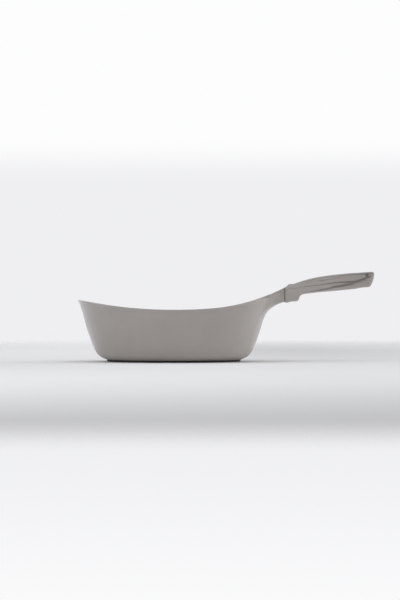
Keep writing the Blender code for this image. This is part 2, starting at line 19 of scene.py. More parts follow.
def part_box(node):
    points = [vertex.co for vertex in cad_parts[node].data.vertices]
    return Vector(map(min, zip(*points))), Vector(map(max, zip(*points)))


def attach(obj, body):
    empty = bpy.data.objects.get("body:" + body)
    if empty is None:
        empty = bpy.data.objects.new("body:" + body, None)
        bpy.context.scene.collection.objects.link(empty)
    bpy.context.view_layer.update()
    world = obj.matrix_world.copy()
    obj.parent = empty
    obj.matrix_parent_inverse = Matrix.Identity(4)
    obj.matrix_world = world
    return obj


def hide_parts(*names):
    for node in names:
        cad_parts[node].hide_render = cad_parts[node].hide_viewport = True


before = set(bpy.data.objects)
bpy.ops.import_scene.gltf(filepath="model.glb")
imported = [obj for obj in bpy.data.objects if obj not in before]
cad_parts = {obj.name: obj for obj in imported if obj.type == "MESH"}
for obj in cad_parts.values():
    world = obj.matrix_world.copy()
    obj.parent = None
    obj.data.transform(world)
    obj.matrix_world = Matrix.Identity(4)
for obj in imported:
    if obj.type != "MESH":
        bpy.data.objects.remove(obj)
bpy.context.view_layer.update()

MM = 0.001
print("nodes:", ", ".join(sorted(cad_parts)))

# %% [markdown]
# ## Where the pieces meet
#
# The seam between the casting and the handle, the screw's axis and the steel disc's size are the same in the
# solids and in the dressed wok. They could be typed in again, but a place that is read off the solids can't
# drift away from them, so these come from the boxes of the nodes.

# %% Read places off the solids
SEAT_GAP = 0.25 * MM
RUNNING_GAP = 0.3 * MM
CUT_OVER = 2.0 * MM
# how far the grip's front comes in past the rear face that the seal has in the solids
SEAM_TIGHTENED = 0.1 * MM

gasket_low, gasket_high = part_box("handle_gasket")
screw_low, screw_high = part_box("handle_screw")
disc_low, disc_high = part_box("induction_disc")
SEAM_X = gasket_low.x - SEAT_GAP
GRIP_FRONT_X = gasket_high.x - SEAM_TIGHTENED
SCREW_X = (screw_low.x + screw_high.x) / 2
SCREW_PLACE = (SCREW_X, 0.0)
DISC_RADIUS = (disc_high.x - disc_low.x) / 2
print(f"seam at {SEAM_X / MM:.2f} mm, screw at {SCREW_X / MM:.2f} mm, disc radius {DISC_RADIUS / MM:.0f} mm")

# %% [markdown]
# ## Small tools for shapes
#
# Each helper does one thing that several pieces need: start a mesh from bmesh code, turn the modifiers into a
# plain mesh, cut one solid with another, and turn a profile about an upright axis as a lathe does. Booleans
# work on closed meshes, so every shape here is closed.

# %% Mesh helpers
SHARP_ANGLE = radians(38.0)
scene = bpy.context.scene
pieces_collection = bpy.data.collections.new("dressed wok")
scene.collection.children.link(pieces_collection)


def mesh_piece(name, build):
    """A linked object whose mesh the function build fills through bmesh."""
    mesh = bpy.data.meshes.new(name)
    bm = bmesh.new()
    build(bm)
    bmesh.ops.recalc_face_normals(bm, faces=bm.faces)
    bm.to_mesh(mesh)
    bm.free()
    piece = bpy.data.objects.new(name, mesh)
    pieces_collection.objects.link(piece)
    return piece


def settle(piece):
    """Turns the modifiers into a plain mesh, smooth but for its sharp edges."""
    depsgraph = bpy.context.evaluated_depsgraph_get()
    mesh = bpy.data.meshes.new_from_object(piece.evaluated_get(depsgraph))
    piece.modifiers.clear()
    piece.data = mesh
    mesh.name = piece.name
    mesh.shade_smooth()
    mesh.set_sharp_from_angle(angle=SHARP_ANGLE)
    return piece


def combine(piece, tool, operation="DIFFERENCE"):
    """Cuts a piece with a closed tool or joins the tool to it, then removes the tool."""
    modifier = piece.modifiers.new("combine", "BOOLEAN")
    modifier.operation = operation
    modifier.object = tool
    modifier.solver = "EXACT"
    settle(piece)
    bpy.data.objects.remove(tool, do_unlink=True)


# %% Turned shapes
def lathe(bm, profile, steps, place=(0.0, 0.0), closed=False):
    """Turns (radius, height) points about an upright axis. A closed profile makes a ring."""
    turns = [2 * pi * k / steps for k in range(steps)]
    rows = []
    for radius, height in profile:
        spots = [(radius * cos(t), radius * sin(t)) for t in (turns if radius else [0.0])]
        rows.append([bm.verts.new((place[0] + x, place[1] + y, height)) for x, y in spots])
    if closed:
        rows.append(rows[0])
    for here, there in zip(rows, rows[1:]):
        for k in range(steps):
            corners = [here[k % len(here)], here[(k + 1) % len(here)]]
            corners += [there[(k + 1) % len(there)], there[k % len(there)]]
            bm.faces.new(list(dict.fromkeys(corners)))


def turned(name, profile, steps, place=(0.0, 0.0), closed=False):
    return mesh_piece(name, lambda bm: lathe(bm, profile, steps, place, closed))


def plug(radius, low, high):
    """The profile of a plain round bar."""
    return [(0.0, high), (radius, high), (radius, low), (0.0, low)]


def rounded_corner(corner, radius, from_angle, to_angle, steps=4):
    """Points of an arc that rounds a corner of a profile, whose centre is set in by the radius."""
    middle = radians((from_angle + to_angle) / 2)
    x = corner[0] - radius * copysign(1.0, cos(middle))
    z = corner[1] - radius * copysign(1.0, sin(middle))
    angles = np.radians(np.linspace(from_angle, to_angle, steps + 1))
    return [(x + radius * cos(a), z + radius * sin(a)) for a in angles]


def round_edge(radius, low, high, edge):
    """The side of a disc or ring, with a small round at its top and at its bottom."""
    top = rounded_corner((radius, high), edge, 90.0, 0.0)
    return top + rounded_corner((radius, low), edge, 0.0, -90.0)


# %% [markdown]
# ## Smoothed cages
#
# Cast and moulded shapes have no hard corners. A few control points, joined into quads and smoothed by a
# subdivision surface, give such a shape with even, soft curvature. Smoothing pulls a curve off its points, so
# `sharpened` moves each control point out by a sixth of the bend there, and the smooth curve meets the points
# that were asked for. A crease keeps an edge crisp, and a part of a crease leaves a small round on it.

# %% Cage helpers
CURVE_STEPS = 61
SMOOTH_LEVELS = 3
MIRROR_WELD = 0.05 * MM


def bridge(bm, *rows):
    """Quads from each row of verts to the next."""
    for here, there in zip(rows, rows[1:]):
        for k in range(len(here) - 1):
            bm.faces.new((here[k], here[k + 1], there[k + 1], there[k]))


def crease_row(bm, verts, amount):
    """Keeps the edges along a row of verts crisp when the cage is smoothed."""
    crease = bm.edges.layers.float.get("crease_edge") or bm.edges.layers.float.new("crease_edge")
    for a, b in zip(verts, verts[1:]):
        bm.edges.get((a, b))[crease] = amount


def mirror_and_smooth(piece, levels=SMOOTH_LEVELS):
    mirror = piece.modifiers.new("other half", "MIRROR")
    mirror.use_axis = (False, True, False)
    mirror.merge_threshold = MIRROR_WELD
    smooth = piece.modifiers.new("smooth cage", "SUBSURF")
    smooth.levels = smooth.render_levels = levels
    settle(piece)


def leaning_curve(start, start_lean, end, end_lean, reach):
    """Points of a curve that leaves start and reaches end at the given angles from upright."""
    start, end = np.array(start), np.array(end)
    leans = np.radians((start_lean, end_lean))
    shape = np.stack([reach * np.sin(leans), reach * np.cos(leans)], axis=1)
    first, last = np.linalg.norm(end - start) * shape
    handles = [Vector((*p, 0.0)) for p in (start, start + first, end - last, end)]
    return np.array([(p.x, p.y) for p in interpolate_bezier(*handles, CURVE_STEPS)])


def along(curve, share):
    """The point at that share of a curve's steps."""
    return tuple(curve[round(share * (len(curve) - 1))])


def sharpened(points):
    """Control points whose smoothed curve passes close to the given points."""
    points = np.array(points)
    control = points.copy()
    control[1:-1] -= (points[:-2] - 2 * points[1:-1] + points[2:]) / 6
    return [tuple(p) for p in control]


# %% [markdown]
# ## The bowl's wall and rim line
#
# Seen from the side, the wall goes out from a narrow foot round a soft shoulder and then rises almost
# straight, and a thin band stands out from it under the rim. The rim isn't level: it dips half way and sweeps
# up at the handle, where it becomes the lug. A flat cut would give a level rim. Here the wall is one curve in
# (radius, height), the rim is a height for each place along the wok, and each column of the cage stops where
# the two meet.

# %% Curve of the wall
FOOT_RADIUS = 103.6 * MM
FOOT_HEIGHT = 3.3 * MM
FOOT_STEP = 2.4 * MM
# width and height of the round at the foot's lower edge
FOOT_EDGE = (2.6 * MM, 1.3 * MM)
SHOULDER_SPREAD = 21.3 * MM
SHOULDER_HEIGHT = 24.0 * MM
SHOULDER_LEAN = 21.3
CORNER_LEAN = 60.0
CORNER_REACH = (0.34, 0.50)
WALL_REACH = (0.68, 0.55)
RIM_LEAN = 20.9
RIM_RADIUS = 148.6 * MM
RIM_DIP_HEIGHT = 79.8 * MM
RIM_LIFT = 16.8 * MM

shoulder = (FOOT_RADIUS + SHOULDER_SPREAD, SHOULDER_HEIGHT)
foot_top = (FOOT_RADIUS + FOOT_STEP, FOOT_HEIGHT)
foot_corner = leaning_curve(foot_top, CORNER_LEAN, shoulder, SHOULDER_LEAN, CORNER_REACH)
tip_height = RIM_DIP_HEIGHT + RIM_LIFT
wall = leaning_curve(foot_corner[-1], SHOULDER_LEAN, (RIM_RADIUS, tip_height), RIM_LEAN, WALL_REACH)
beyond = wall[-1] + tip_height * np.array((tan(radians(RIM_LEAN)), 1.0))
outer_wall = np.concatenate([foot_corner[:-1], wall, [beyond]])
print(f"outside: {len(outer_wall)} points from the foot past the rim")

# %% [markdown]
# The inside is the outside moved in by the wall's thickness, square to the surface. Near the floor it turns
# in a wider bend of its own, as castings have there, so that the metal is strong and a turner can follow it.

# %% Inside and rim
WALL_THICKNESS = 3.2 * MM
FLOOR_THICKNESS = 6.0 * MM
FLOOR_INSET = 15.6 * MM
FLOOR_LEAN = 88.0
BEND_HEIGHT = 22.0 * MM
BEND_LEAN = 30.0
BEND_REACH = (0.5, 0.3)
RIM_LIFT_POWER = 2.2
RIM_SWEEP = 7.6 * MM
RIM_SWEEP_START = 0.42
RIM_SWEEP_POWER = 2.0
RIM_TRIES = 61

forward = np.gradient(outer_wall, axis=0)
forward /= np.linalg.norm(forward, axis=1)[:, None]
inner_wall = outer_wall + WALL_THICKNESS * np.stack([-forward[:, 1], forward[:, 0]], axis=1)


def radius_at(wall, height):
    return float(np.interp(height, wall[:, 1], wall[:, 0]))


def rim_height(x):
    """Height of the rim, and of the lug's top behind it, at a distance x towards the handle."""
    share = x / RIM_RADIUS
    sweep = max(share - RIM_SWEEP_START, 0.0) / (1.0 - RIM_SWEEP_START)
    return RIM_DIP_HEIGHT + RIM_LIFT * abs(share) ** RIM_LIFT_POWER + RIM_SWEEP * sweep**RIM_SWEEP_POWER


def rim_point(wall, angle):
    """Where that wall meets the rim at an angle round the bowl, as (radius, height)."""
    height = RIM_DIP_HEIGHT
    for _ in range(RIM_TRIES):
        height = rim_height(radius_at(wall, height) * cos(angle))
    return radius_at(wall, height), height


floor_edge = (FOOT_RADIUS - FLOOR_INSET, FLOOR_THICKNESS)
bend_end = (radius_at(inner_wall, BEND_HEIGHT), BEND_HEIGHT)
floor_bend = leaning_curve(floor_edge, FLOOR_LEAN, bend_end, BEND_LEAN, BEND_REACH)
print(f"rim: {rim_height(0.0) / MM:.1f} mm high at the dip, {rim_height(RIM_RADIUS) / MM:.1f} mm at the lug")

# %% [markdown]
# ## The lug
#
# The lug carries the handle. It grows out of the rim as part of the casting: its top goes on along the rim
# line between two chamfered edges, its sides spread into the bowl with a round fillet seen from above, and
# its underside leaves the wall in a hollow curve, full and round at the root. A block joined to the bowl
# would leave a hard line round its root, so the lug's rings of control points start at the bowl's own cage
# and run from there to the seam.

# %% Curves of the lug
LUG_REACH = SEAM_X - RIM_RADIUS
LUG_DEPTH = 22.4 * MM
LUG_ROOT_DEPTH = 38.8 * MM
LUG_HALF_WIDTH = 16.0 * MM
LUG_FILLET = 48.0 * MM
LUG_END_TURN = radians(19.0)
LUG_ROOT_LEAN = 14.5
LUG_END_LEAN = 77.2
LUG_UNDERSIDE_REACH = (0.33, 0.33)
LUG_CHAMFER_WIDTH = 3.0 * MM
LUG_CHAMFER_HEIGHT = 4.2 * MM
LUG_CRISPNESS = 0.6 * MM
# for each section, the share of the way to the seam at its top and at its underside
LUG_SECTION_SHARES = ((0.02, 0.36), (0.30, 0.50), (0.55, 0.68), (0.80, 0.85), (1.0, 1.0))
LUG_ROOT_SHARE = 0.26
SEAM_TOP = rim_height(SEAM_X)
SEAM_LOW = SEAM_TOP - LUG_DEPTH

root_height = rim_height(RIM_RADIUS) - LUG_ROOT_DEPTH
lug_root = (radius_at(outer_wall, root_height), root_height)
underside = leaning_curve(lug_root, LUG_ROOT_LEAN, (SEAM_X, SEAM_LOW), LUG_END_LEAN, LUG_UNDERSIDE_REACH)
shares = (0.0, LUG_ROOT_SHARE, *(low_share for _, low_share in LUG_SECTION_SHARES))
_, root_end, *underside_ends = sharpened([along(underside, share) for share in shares])


def lug_half_width(x):
    """Half the width seen from above: a wide round fillet that still spreads a little at the seam."""
    back = min(SEAM_X - x + LUG_FILLET * sin(LUG_END_TURN), LUG_FILLET)
    return LUG_HALF_WIDTH + LUG_FILLET * cos(LUG_END_TURN) - sqrt(LUG_FILLET**2 - back**2)


def half_section(top_x, top, low_x, low, half_width, swell=0.0):
    """Half a section of the lug, from the middle of its top round its side to the middle of its underside.

    The underside's corner is small at the seam, and a swell of 1 makes it as round as where the lug leaves
    the bowl.
    """
    wide, crisp = LUG_CHAMFER_WIDTH, LUG_CRISPNESS
    tall = LUG_CHAMFER_HEIGHT / (top - low)
    side = (
        (0.0, 0.0), (0.45 * half_width, 0.0), (half_width - wide - crisp, 0.0),
        (half_width - wide, 0.02 * tall), (half_width - wide + crisp, 0.2 * tall),
        (half_width - 0.2 * wide, 0.8 * tall), (half_width, 1.2 * tall), (half_width, 0.50),
        ((1.0 - 0.06 * swell) * half_width, 0.90 - 0.14 * swell),
        ((0.91 - 0.23 * swell) * half_width, 0.985 - 0.055 * swell),
        ((0.46 - 0.12 * swell) * half_width, 1.0 - 0.01 * swell),
        (0.0, 1.0),
    )
    return [(top_x + share * (low_x - top_x), y, top + share * (low - top)) for y, share in side]


print(f"seam: from {SEAM_LOW / MM:.1f} to {SEAM_TOP / MM:.1f} mm high")

# %% [markdown]
# ## The casting
#
# The bowl is a grid that goes from the foot over the rim and down to the floor, for half a turn, with a gap
# where the lug leaves it. A lathe would be simpler, but it can't make a rim that dips. The foot's lower edge
# is a small round between two creased rows. Next to the lug the rim's band gives way to the lug's chamfer,
# which runs out along the rim.

# %% Columns of the casting
CORNER_SHARES = (0.25, 0.5, 0.75)
WALL_SHARES = (0.0, 0.26, 0.5, 0.66, 0.84)
INNER_SHARES = (0.75, 0.4, 0.1)
BEND_SHARES = (0.7, 0.35)
INNER_SOFTNESS = 1.6 * MM
LIP_SET_IN = 0.35 * MM
# (depth under the rim, how far the band stands out there, how far the chamfer of the lug sets it in)
RIM_BAND = (
    (4.8 * MM, 0.0 * MM, -0.2 * MM),
    (3.3 * MM, 0.45 * MM, 0.9 * MM),
    (0.5 * MM, 0.15 * MM, 2.6 * MM),
)
CHAMFER_RUN_OUT = 42.0


def cage_column(angle):
    """One column of the cage, from the foot over the rim to the floor, as (radius, height)."""
    rim, inside = rim_point(outer_wall, angle), rim_point(inner_wall, angle)
    rise = [SHOULDER_HEIGHT + share * (rim[1] - SHOULDER_HEIGHT) for share in WALL_SHARES]
    outside = [(FOOT_RADIUS, FOOT_HEIGHT), *(along(foot_corner, share) for share in CORNER_SHARES)]
    outside += [(radius_at(outer_wall, height), height) for height in rise]
    near_lug = max(0.0, 1.0 - abs(degrees(angle)) / CHAMFER_RUN_OUT)
    for depth, proud, set_in in RIM_BAND:
        height = rim[1] - depth
        outside.append((radius_at(outer_wall, height) + proud - near_lug * set_in, height))
    lip = (rim[0] - LIP_SET_IN - near_lug * RIM_BAND[-1][-1], rim[1])
    fall = [inside[1] - INNER_SOFTNESS]
    fall += [BEND_HEIGHT + share * (inside[1] - BEND_HEIGHT) for share in INNER_SHARES]
    down = [inside, *((radius_at(inner_wall, height), height) for height in fall)]
    down += [along(floor_bend, share) for share in BEND_SHARES]
    foot = [(FOOT_RADIUS - FOOT_EDGE[0], 0.0), (FOOT_RADIUS, FOOT_EDGE[1])]
    return [*foot, *sharpened([*outside, lip]), *sharpened([*down, floor_edge])]


def column_verts(bm, angle, swell):
    """The verts of one column. The swell makes up for what smoothing round the bowl takes off."""
    turn = radians(angle)
    across = 0.0 if angle in (0.0, 180.0) else sin(turn)
    return [
        bm.verts.new((radius * swell * cos(turn), radius * swell * across, height))
        for radius, height in cage_column(turn)
    ]


print("control points in a column:", len(cage_column(pi)))

# %% [markdown]
# The columns next to the lug stop below it and start again on its top. The gap's edge is the first of the
# lug's rings. A light crease down the gap's side keeps the lug's root from melting into the wall.

# %% Cage of the casting
LUG_ANGLES = (0.0, 6.0, 12.0, 17.0)
FIRST_BOWL_ANGLE = 21.0
BOWL_COLUMNS = 13
FOOT_ROWS = 3
FOOT_CREASE = 0.8
SEAM_CREASE = 0.8
ROOT_CREASE = 0.3
LUG_COLUMNS = len(LUG_ANGLES) - 1
LUG_LOW_ROW = FOOT_ROWS + len(CORNER_SHARES) + len(WALL_SHARES) - 2
RIM_ROW = LUG_LOW_ROW + 2 + len(RIM_BAND)


def build_casting_cage(bm):
    """Half the bowl as a grid with a gap for the lug, then the lug's rings from that gap to the seam."""
    angles = [*LUG_ANGLES, *np.linspace(FIRST_BOWL_ANGLE, 180.0, BOWL_COLUMNS + 1)]
    swells = 6 / (4 + 2 * np.cos(np.gradient(np.radians(angles))))
    grid = [column_verts(bm, angle, swell) for angle, swell in zip(angles, swells)]
    shift = root_end[0] - radius_at(outer_wall, root_end[1])
    for column in grid[:LUG_COLUMNS]:
        column[LUG_LOW_ROW - 1].co.x -= shift / 6
        column[LUG_LOW_ROW].co.x += shift
        column[LUG_LOW_ROW].co.z = root_end[1]
    for here, there in zip(grid[:LUG_COLUMNS], grid[1:]):
        bridge(bm, here[: LUG_LOW_ROW + 1], there[: LUG_LOW_ROW + 1])
        bridge(bm, here[RIM_ROW:], there[RIM_ROW:])
    bridge(bm, *grid[LUG_COLUMNS:])
    under, floor = (bm.verts.new((0.0, 0.0, height)) for height in (0.0, FLOOR_THICKNESS))
    for here, there in zip(grid, grid[1:]):
        bm.faces.new((under, here[0], there[0]))
        bm.faces.new((floor, there[-1], here[-1]))
    root = [column[RIM_ROW] for column in grid[: LUG_COLUMNS + 1]]
    root += grid[LUG_COLUMNS][RIM_ROW - 1 : LUG_LOW_ROW - 1 : -1]
    root += [column[LUG_LOW_ROW] for column in reversed(grid[:LUG_COLUMNS])]
    rings = [root]
    for (top_share, _), (low_x, low) in zip(LUG_SECTION_SHARES, underside_ends):
        top_x = RIM_RADIUS + top_share * LUG_REACH
        width = lug_half_width((top_x + low_x) / 2)
        section = half_section(top_x, rim_height(top_x), low_x, low, width, 1.0 - top_share)
        rings.append([bm.verts.new(p) for p in section])
    bridge(bm, *rings)
    bm.faces.new(rings[-1])
    crease_row(bm, rings[-1], SEAM_CREASE)
    crease_row(bm, grid[LUG_COLUMNS][LUG_LOW_ROW + 1 : RIM_ROW], ROOT_CREASE)
    for row in (0, FOOT_ROWS - 1):
        crease_row(bm, [column[row] for column in grid], FOOT_CREASE)


casting = mesh_piece("wok_casting", build_casting_cage)
mirror_and_smooth(casting)
print("bowl and lug:", len(casting.data.polygons), "faces")

# %% [markdown]
# ## Tongue, insert pocket and disc seat
#
# These are machined or cast features with plain shapes, so Booleans make them: a sloping bar for the tongue,
# a six-sided pocket that the steel thread sits in, and a shallow round seat for the disc. The studs are what
# the seat's cutter leaves out: rings of pegs, each ring with six more than the one inside it.

# %% Tongue
TONGUE_LENGTH = 27.0 * MM
TONGUE_WIDTH = 18.0 * MM
TONGUE_THICKNESS = 10.5 * MM
TONGUE_RISE = 12.2 * MM
TONGUE_SLOPE = radians(18.0)
TONGUE_ROOT = 6.0 * MM
TONGUE_EDGE = 1.5 * MM


def tongue_box(name, grow):
    """The tongue's round-edged bar, larger by grow on every side, from inside the lug to its tip."""
    direction = Vector((cos(TONGUE_SLOPE), 0.0, sin(TONGUE_SLOPE)))
    length = TONGUE_ROOT + TONGUE_LENGTH
    middle = Vector((SEAM_X, 0.0, SEAM_LOW + TONGUE_RISE)) + (length / 2 - TONGUE_ROOT) * direction
    size = (length + 2 * grow, TONGUE_WIDTH + 2 * grow, TONGUE_THICKNESS + 2 * grow)
    turn = Matrix.Rotation(-TONGUE_SLOPE, 4, "Y")

    def build(bm):
        bmesh.ops.create_cube(bm, size=1.0, matrix=Matrix.Diagonal((*size, 1.0)))
        edge = TONGUE_EDGE + grow
        bmesh.ops.bevel(bm, geom=bm.edges[:], offset=edge, segments=3, profile=0.5, affect="EDGES")
        bmesh.ops.transform(bm, matrix=Matrix.Translation(middle) @ turn, verts=bm.verts)

    return mesh_piece(name, build)


combine(casting, tongue_box("tongue", 0.0), "UNION")
print("with the tongue:", len(casting.data.polygons), "faces")

# %% Pocket, seat and studs
DISC_HOLE_RADIUS = 2.5 * MM
DISC_RING_PITCH = 19.5 * MM
DISC_RIM = 5.0 * MM
HOLES_PER_RING = 6
STUD_SIDES = 24
DISC_STEPS = 192
HEX_SIDES = 6
insert_low, insert_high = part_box("thread_insert")


def pegs(name, radius, low, high):
    """Upright pegs at the disc's holes: ring after ring, each with a few more than the one inside it."""

    def build(bm):
        for ring in range(1, int((DISC_RADIUS - DISC_RIM) / DISC_RING_PITCH) + 1):
            count = HOLES_PER_RING * ring
            for turn in (2 * pi * k / count for k in range(count)):
                place = (ring * DISC_RING_PITCH * cos(turn), ring * DISC_RING_PITCH * sin(turn))
                lathe(bm, plug(radius, low, high), STUD_SIDES, place)

    return mesh_piece(name, build)


middle = (insert_low.z + insert_high.z) / 2
radius = (insert_high.x - insert_low.x) / 2 + RUNNING_GAP
pocket = plug(radius, middle - TONGUE_THICKNESS, middle + TONGUE_THICKNESS)
combine(casting, turned("insert_pocket", pocket, HEX_SIDES, SCREW_PLACE))
seat_height = disc_high.z - disc_low.z + SEAT_GAP
seat = turned("disc_seat", plug(DISC_RADIUS + RUNNING_GAP, -CUT_OVER, seat_height), DISC_STEPS)
combine(seat, pegs("studs", DISC_HOLE_RADIUS - RUNNING_GAP, -2 * CUT_OVER, 2 * CUT_OVER))
combine(casting, seat)

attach(casting, "root")
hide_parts("wok_body")
print("casting:", len(casting.data.polygons), "faces")

# %% [markdown]
# ## The steel disc
#
# A thin sheet of magnetic steel lets the wok work on an induction hob. It is punched with round holes and
# pressed on the base while the aluminium is hot, so aluminium studs fill the holes. The sheet's edge is
# broken by a small round, which a lathe profile gives, and the holes are cut with the same pegs as the studs,
# a little larger.

# %% Disc
DISC_EDGE = 0.25 * MM

side = round_edge(DISC_RADIUS, disc_low.z, disc_high.z, DISC_EDGE)
disc = turned("steel_disc", [(0.0, disc_high.z), *side, (0.0, disc_low.z)], DISC_STEPS)
combine(disc, pegs("disc_holes", DISC_HOLE_RADIUS, -CUT_OVER, 2 * CUT_OVER))

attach(disc, "root")
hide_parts("induction_disc")
print("disc:", len(disc.data.polygons), "faces")

# %% [markdown]
# ## The handle
#
# The handle is moulded in one piece: a collar that meets the lug, a step underneath where the screw's boss
# ends, a slim waist and a fuller tail with a slot to hang it by. Its cage is a row of sections from the seam
# to the tail. The slot belongs to the cage too: its two long sides are columns of the cage, so the smoothing
# rounds its edges as a mould does. A Boolean slot would keep knife edges.

# %% Sections of the handle
# In millimetres, distances from the seam and heights from the lug's lower edge there:
# (distance and height of the top, distance and height of the underside, half width)
GRIP_SECTIONS = MM * np.array((
    (3.6, 24.3, 3.4, -1.1, 16.9),
    (6.7, 27.5, 7.0, -0.6, 17.0),
    (9.8, 28.0, 9.6, 0.5, 16.9),
    (13.2, 28.2, 13.4, 0.8, 16.7),
    (17.2, 29.1, 18.0, 1.0, 16.4),
    (20.6, 30.4, 20.8, 1.9, 16.1),
    (23.2, 31.4, 22.6, 4.4, 15.9),
    (25.4, 32.0, 23.8, 8.0, 15.7),
    (28.4, 32.9, 26.2, 10.6, 15.5),
    (33.0, 34.2, 30.6, 12.3, 15.2),
    (43.9, 37.1, 42.0, 13.8, 14.7),
    (56.0, 39.3, 56.0, 15.4, 14.6),
    (72.0, 41.7, 72.0, 16.7, 15.0),
    (90.0, 43.6, 90.0, 18.4, 15.8),
    (101.0, 44.7, 101.0, 19.5, 16.3),
    (107.9, 45.1, 107.9, 20.2, 16.6),
    (112.4, 45.3, 112.2, 20.9, 16.8),
    (118.0, 45.7, 117.2, 22.0, 16.9),
    (123.4, 46.1, 122.2, 22.6, 16.9),
    (128.0, 46.4, 126.2, 22.8, 16.5),
    (132.4, 46.65, 129.6, 23.1, 15.8),
    (136.4, 46.7, 132.3, 23.95, 14.3),
    (138.7, 45.5, 134.0, 25.7, 12.4),
    (139.4, 40.7, 137.0, 31.2, 7.5),
))
GRIP_FRONT_PROUD = 0.8 * MM
SLOT_HALF_WIDTH = 4.5 * MM


def grip_half_section(top_x, top, low_x, low, half_width):
    """Half a section of the grip: flat sides, well-rounded corners and a column at the slot's side."""
    slot_share = SLOT_HALF_WIDTH / half_width
    outline = (
        (0.0, 0.0), (slot_share, 0.0), (0.62, 0.005), (0.92, 0.09), (1.0, 0.32),
        (1.0, 0.68), (0.92, 0.91), (0.62, 0.995), (slot_share, 1.0), (0.0, 1.0),
    )
    return [(top_x + z * (low_x - top_x), y * half_width, top + z * (low - top)) for y, z in outline]


front_top, front_low = rim_height(GRIP_FRONT_X) + GRIP_FRONT_PROUD / 2, SEAM_LOW - GRIP_FRONT_PROUD
front = (GRIP_FRONT_X, front_top, GRIP_FRONT_X, front_low, LUG_HALF_WIDTH + GRIP_FRONT_PROUD)
grip_sections = sharpened([front, *(GRIP_SECTIONS + (SEAM_X, SEAM_LOW, SEAM_X, SEAM_LOW, 0.0))])
print("sections of the handle:", len(grip_sections))

# %% [markdown]
# A smoothed ring of control points is smaller than the ring itself. For points 45 degrees apart on a circle
# the smooth curve has (4 + 2 cos 45) / 6 of the circle's radius, so the slot's round ends are drawn larger by
# that.

# %% Slot
FIRST_SLOT_RING = 16
SLOT_RINGS = 5
SLOT_LENGTH = 20.0 * MM
SLOT_START = 107.9 * MM
SLOT_EDGE_CREASE = 0.35
SLOT_LIP = 2.0 * MM
DIAGONAL = cos(radians(45.0))
ROUND_END_RADIUS = SLOT_HALF_WIDTH * 6 / (4 + 2 * DIAGONAL)

first = SEAM_X + SLOT_START + SLOT_HALF_WIDTH
last = SEAM_X + SLOT_START + SLOT_LENGTH - SLOT_HALF_WIDTH
slant = ROUND_END_RADIUS * DIAGONAL
slot_ends = ((first - ROUND_END_RADIUS, 0.0), (last + ROUND_END_RADIUS, 0.0))
slot_side = [(x, SLOT_HALF_WIDTH) for x in (first, (first + last) / 2, last)]
slot_side = [(first - slant, slant), *slot_side, (last + slant, slant)]


def slot_wall(bm, tops, lows):
    """The wall of the slot: quads from its top edge to its bottom edge, with a row close under each edge."""
    rows = [tops]
    for toward, near in ((-SLOT_LIP, tops), (SLOT_LIP, lows)):
        rows.append([bm.verts.new(v.co + Vector((0.0, 0.0, toward))) for v in near])
    bridge(bm, *rows, lows)
    for row in (tops, lows):
        crease_row(bm, row, SLOT_EDGE_CREASE)


print(f"slot: {2 * SLOT_HALF_WIDTH / MM:.0f} x {SLOT_LENGTH / MM:.0f} mm")

# %% Cage of the handle
GRIP_FRONT_CREASE = 0.6


def build_grip_cage(bm):
    """Half the grip: rings along it from a flat front to a rounded tail, with the slot left open."""
    rings = [[bm.verts.new(p) for p in grip_half_section(*section)] for section in grip_sections]
    in_slot = rings[FIRST_SLOT_RING : FIRST_SLOT_RING + SLOT_RINGS]
    for ring, place in zip(in_slot, slot_side):
        ring[1].co.xy = ring[-2].co.xy = place
    for ring, place in zip((in_slot[0], in_slot[-1]), slot_ends):
        ring[0].co.xy = ring[-1].co.xy = place
    for k, (here, there) in enumerate(zip(rings, rings[1:])):
        if FIRST_SLOT_RING <= k < FIRST_SLOT_RING + SLOT_RINGS - 1:
            here, there = here[1:-1], there[1:-1]
        bridge(bm, here, there)
    tops, lows = (
        [in_slot[0][end], *(ring[side] for ring in in_slot), in_slot[-1][end]]
        for end, side in ((0, 1), (-1, -2))
    )
    for ring in in_slot[1:-1]:
        bm.verts.remove(ring[0])
        bm.verts.remove(ring[-1])
    slot_wall(bm, tops, lows)
    bm.faces.new(rings[0])
    bm.faces.new(rings[-1])
    crease_row(bm, rings[0], GRIP_FRONT_CREASE)


grip = mesh_piece("moulded_grip", build_grip_cage)
mirror_and_smooth(grip)
print("handle:", len(grip.data.polygons), "faces")

# %% [markdown]
# ## Socket and screw recess
#
# The socket takes the casting's tongue with a little room all round. The screw comes from below, so its
# recess is open on the underside. The recess's cutter flares out at its mouth, which leaves a round on the
# plastic's edge, as moulded holes have.

# %% Handle
SCREW_RADIUS = 2.5 * MM
FLAT_WASHER_WIDTH = 2.3 * MM
RECESS_CLEARANCE = 1.0 * MM
MOUTH_ROUND = 0.9 * MM
MOUTH_ROUND_POINTS = 7
MOUTH_LEVEL = 1.0 * MM
ROUND_STEPS = 64
washer_low, washer_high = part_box("flat_washer")
WASHER_BORE = SCREW_RADIUS + RUNNING_GAP

combine(grip, tongue_box("socket", RUNNING_GAP))
mouth = SEAM_LOW + MOUTH_LEVEL
radius, high = WASHER_BORE + FLAT_WASHER_WIDTH + RECESS_CLEARANCE, washer_high.z + SEAT_GAP
flare = [
    (radius + MOUTH_ROUND * (1 - cos(a)), mouth + MOUTH_ROUND * (1 - sin(a)))
    for a in np.radians(np.linspace(0.0, 90.0, MOUTH_ROUND_POINTS))
]
low = mouth - 4 * CUT_OVER
recess = [(0.0, high), (radius, high), *flare, (radius + MOUTH_ROUND, low), (0.0, low)]
combine(grip, turned("screw_recess", recess, ROUND_STEPS, SCREW_PLACE))
hole = plug(WASHER_BORE, mouth, screw_high.z + RUNNING_GAP)
combine(grip, turned("screw_hole", hole, ROUND_STEPS, SCREW_PLACE))

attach(grip, "root")
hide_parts("handle_grip")
print("grip:", len(grip.data.polygons), "faces")

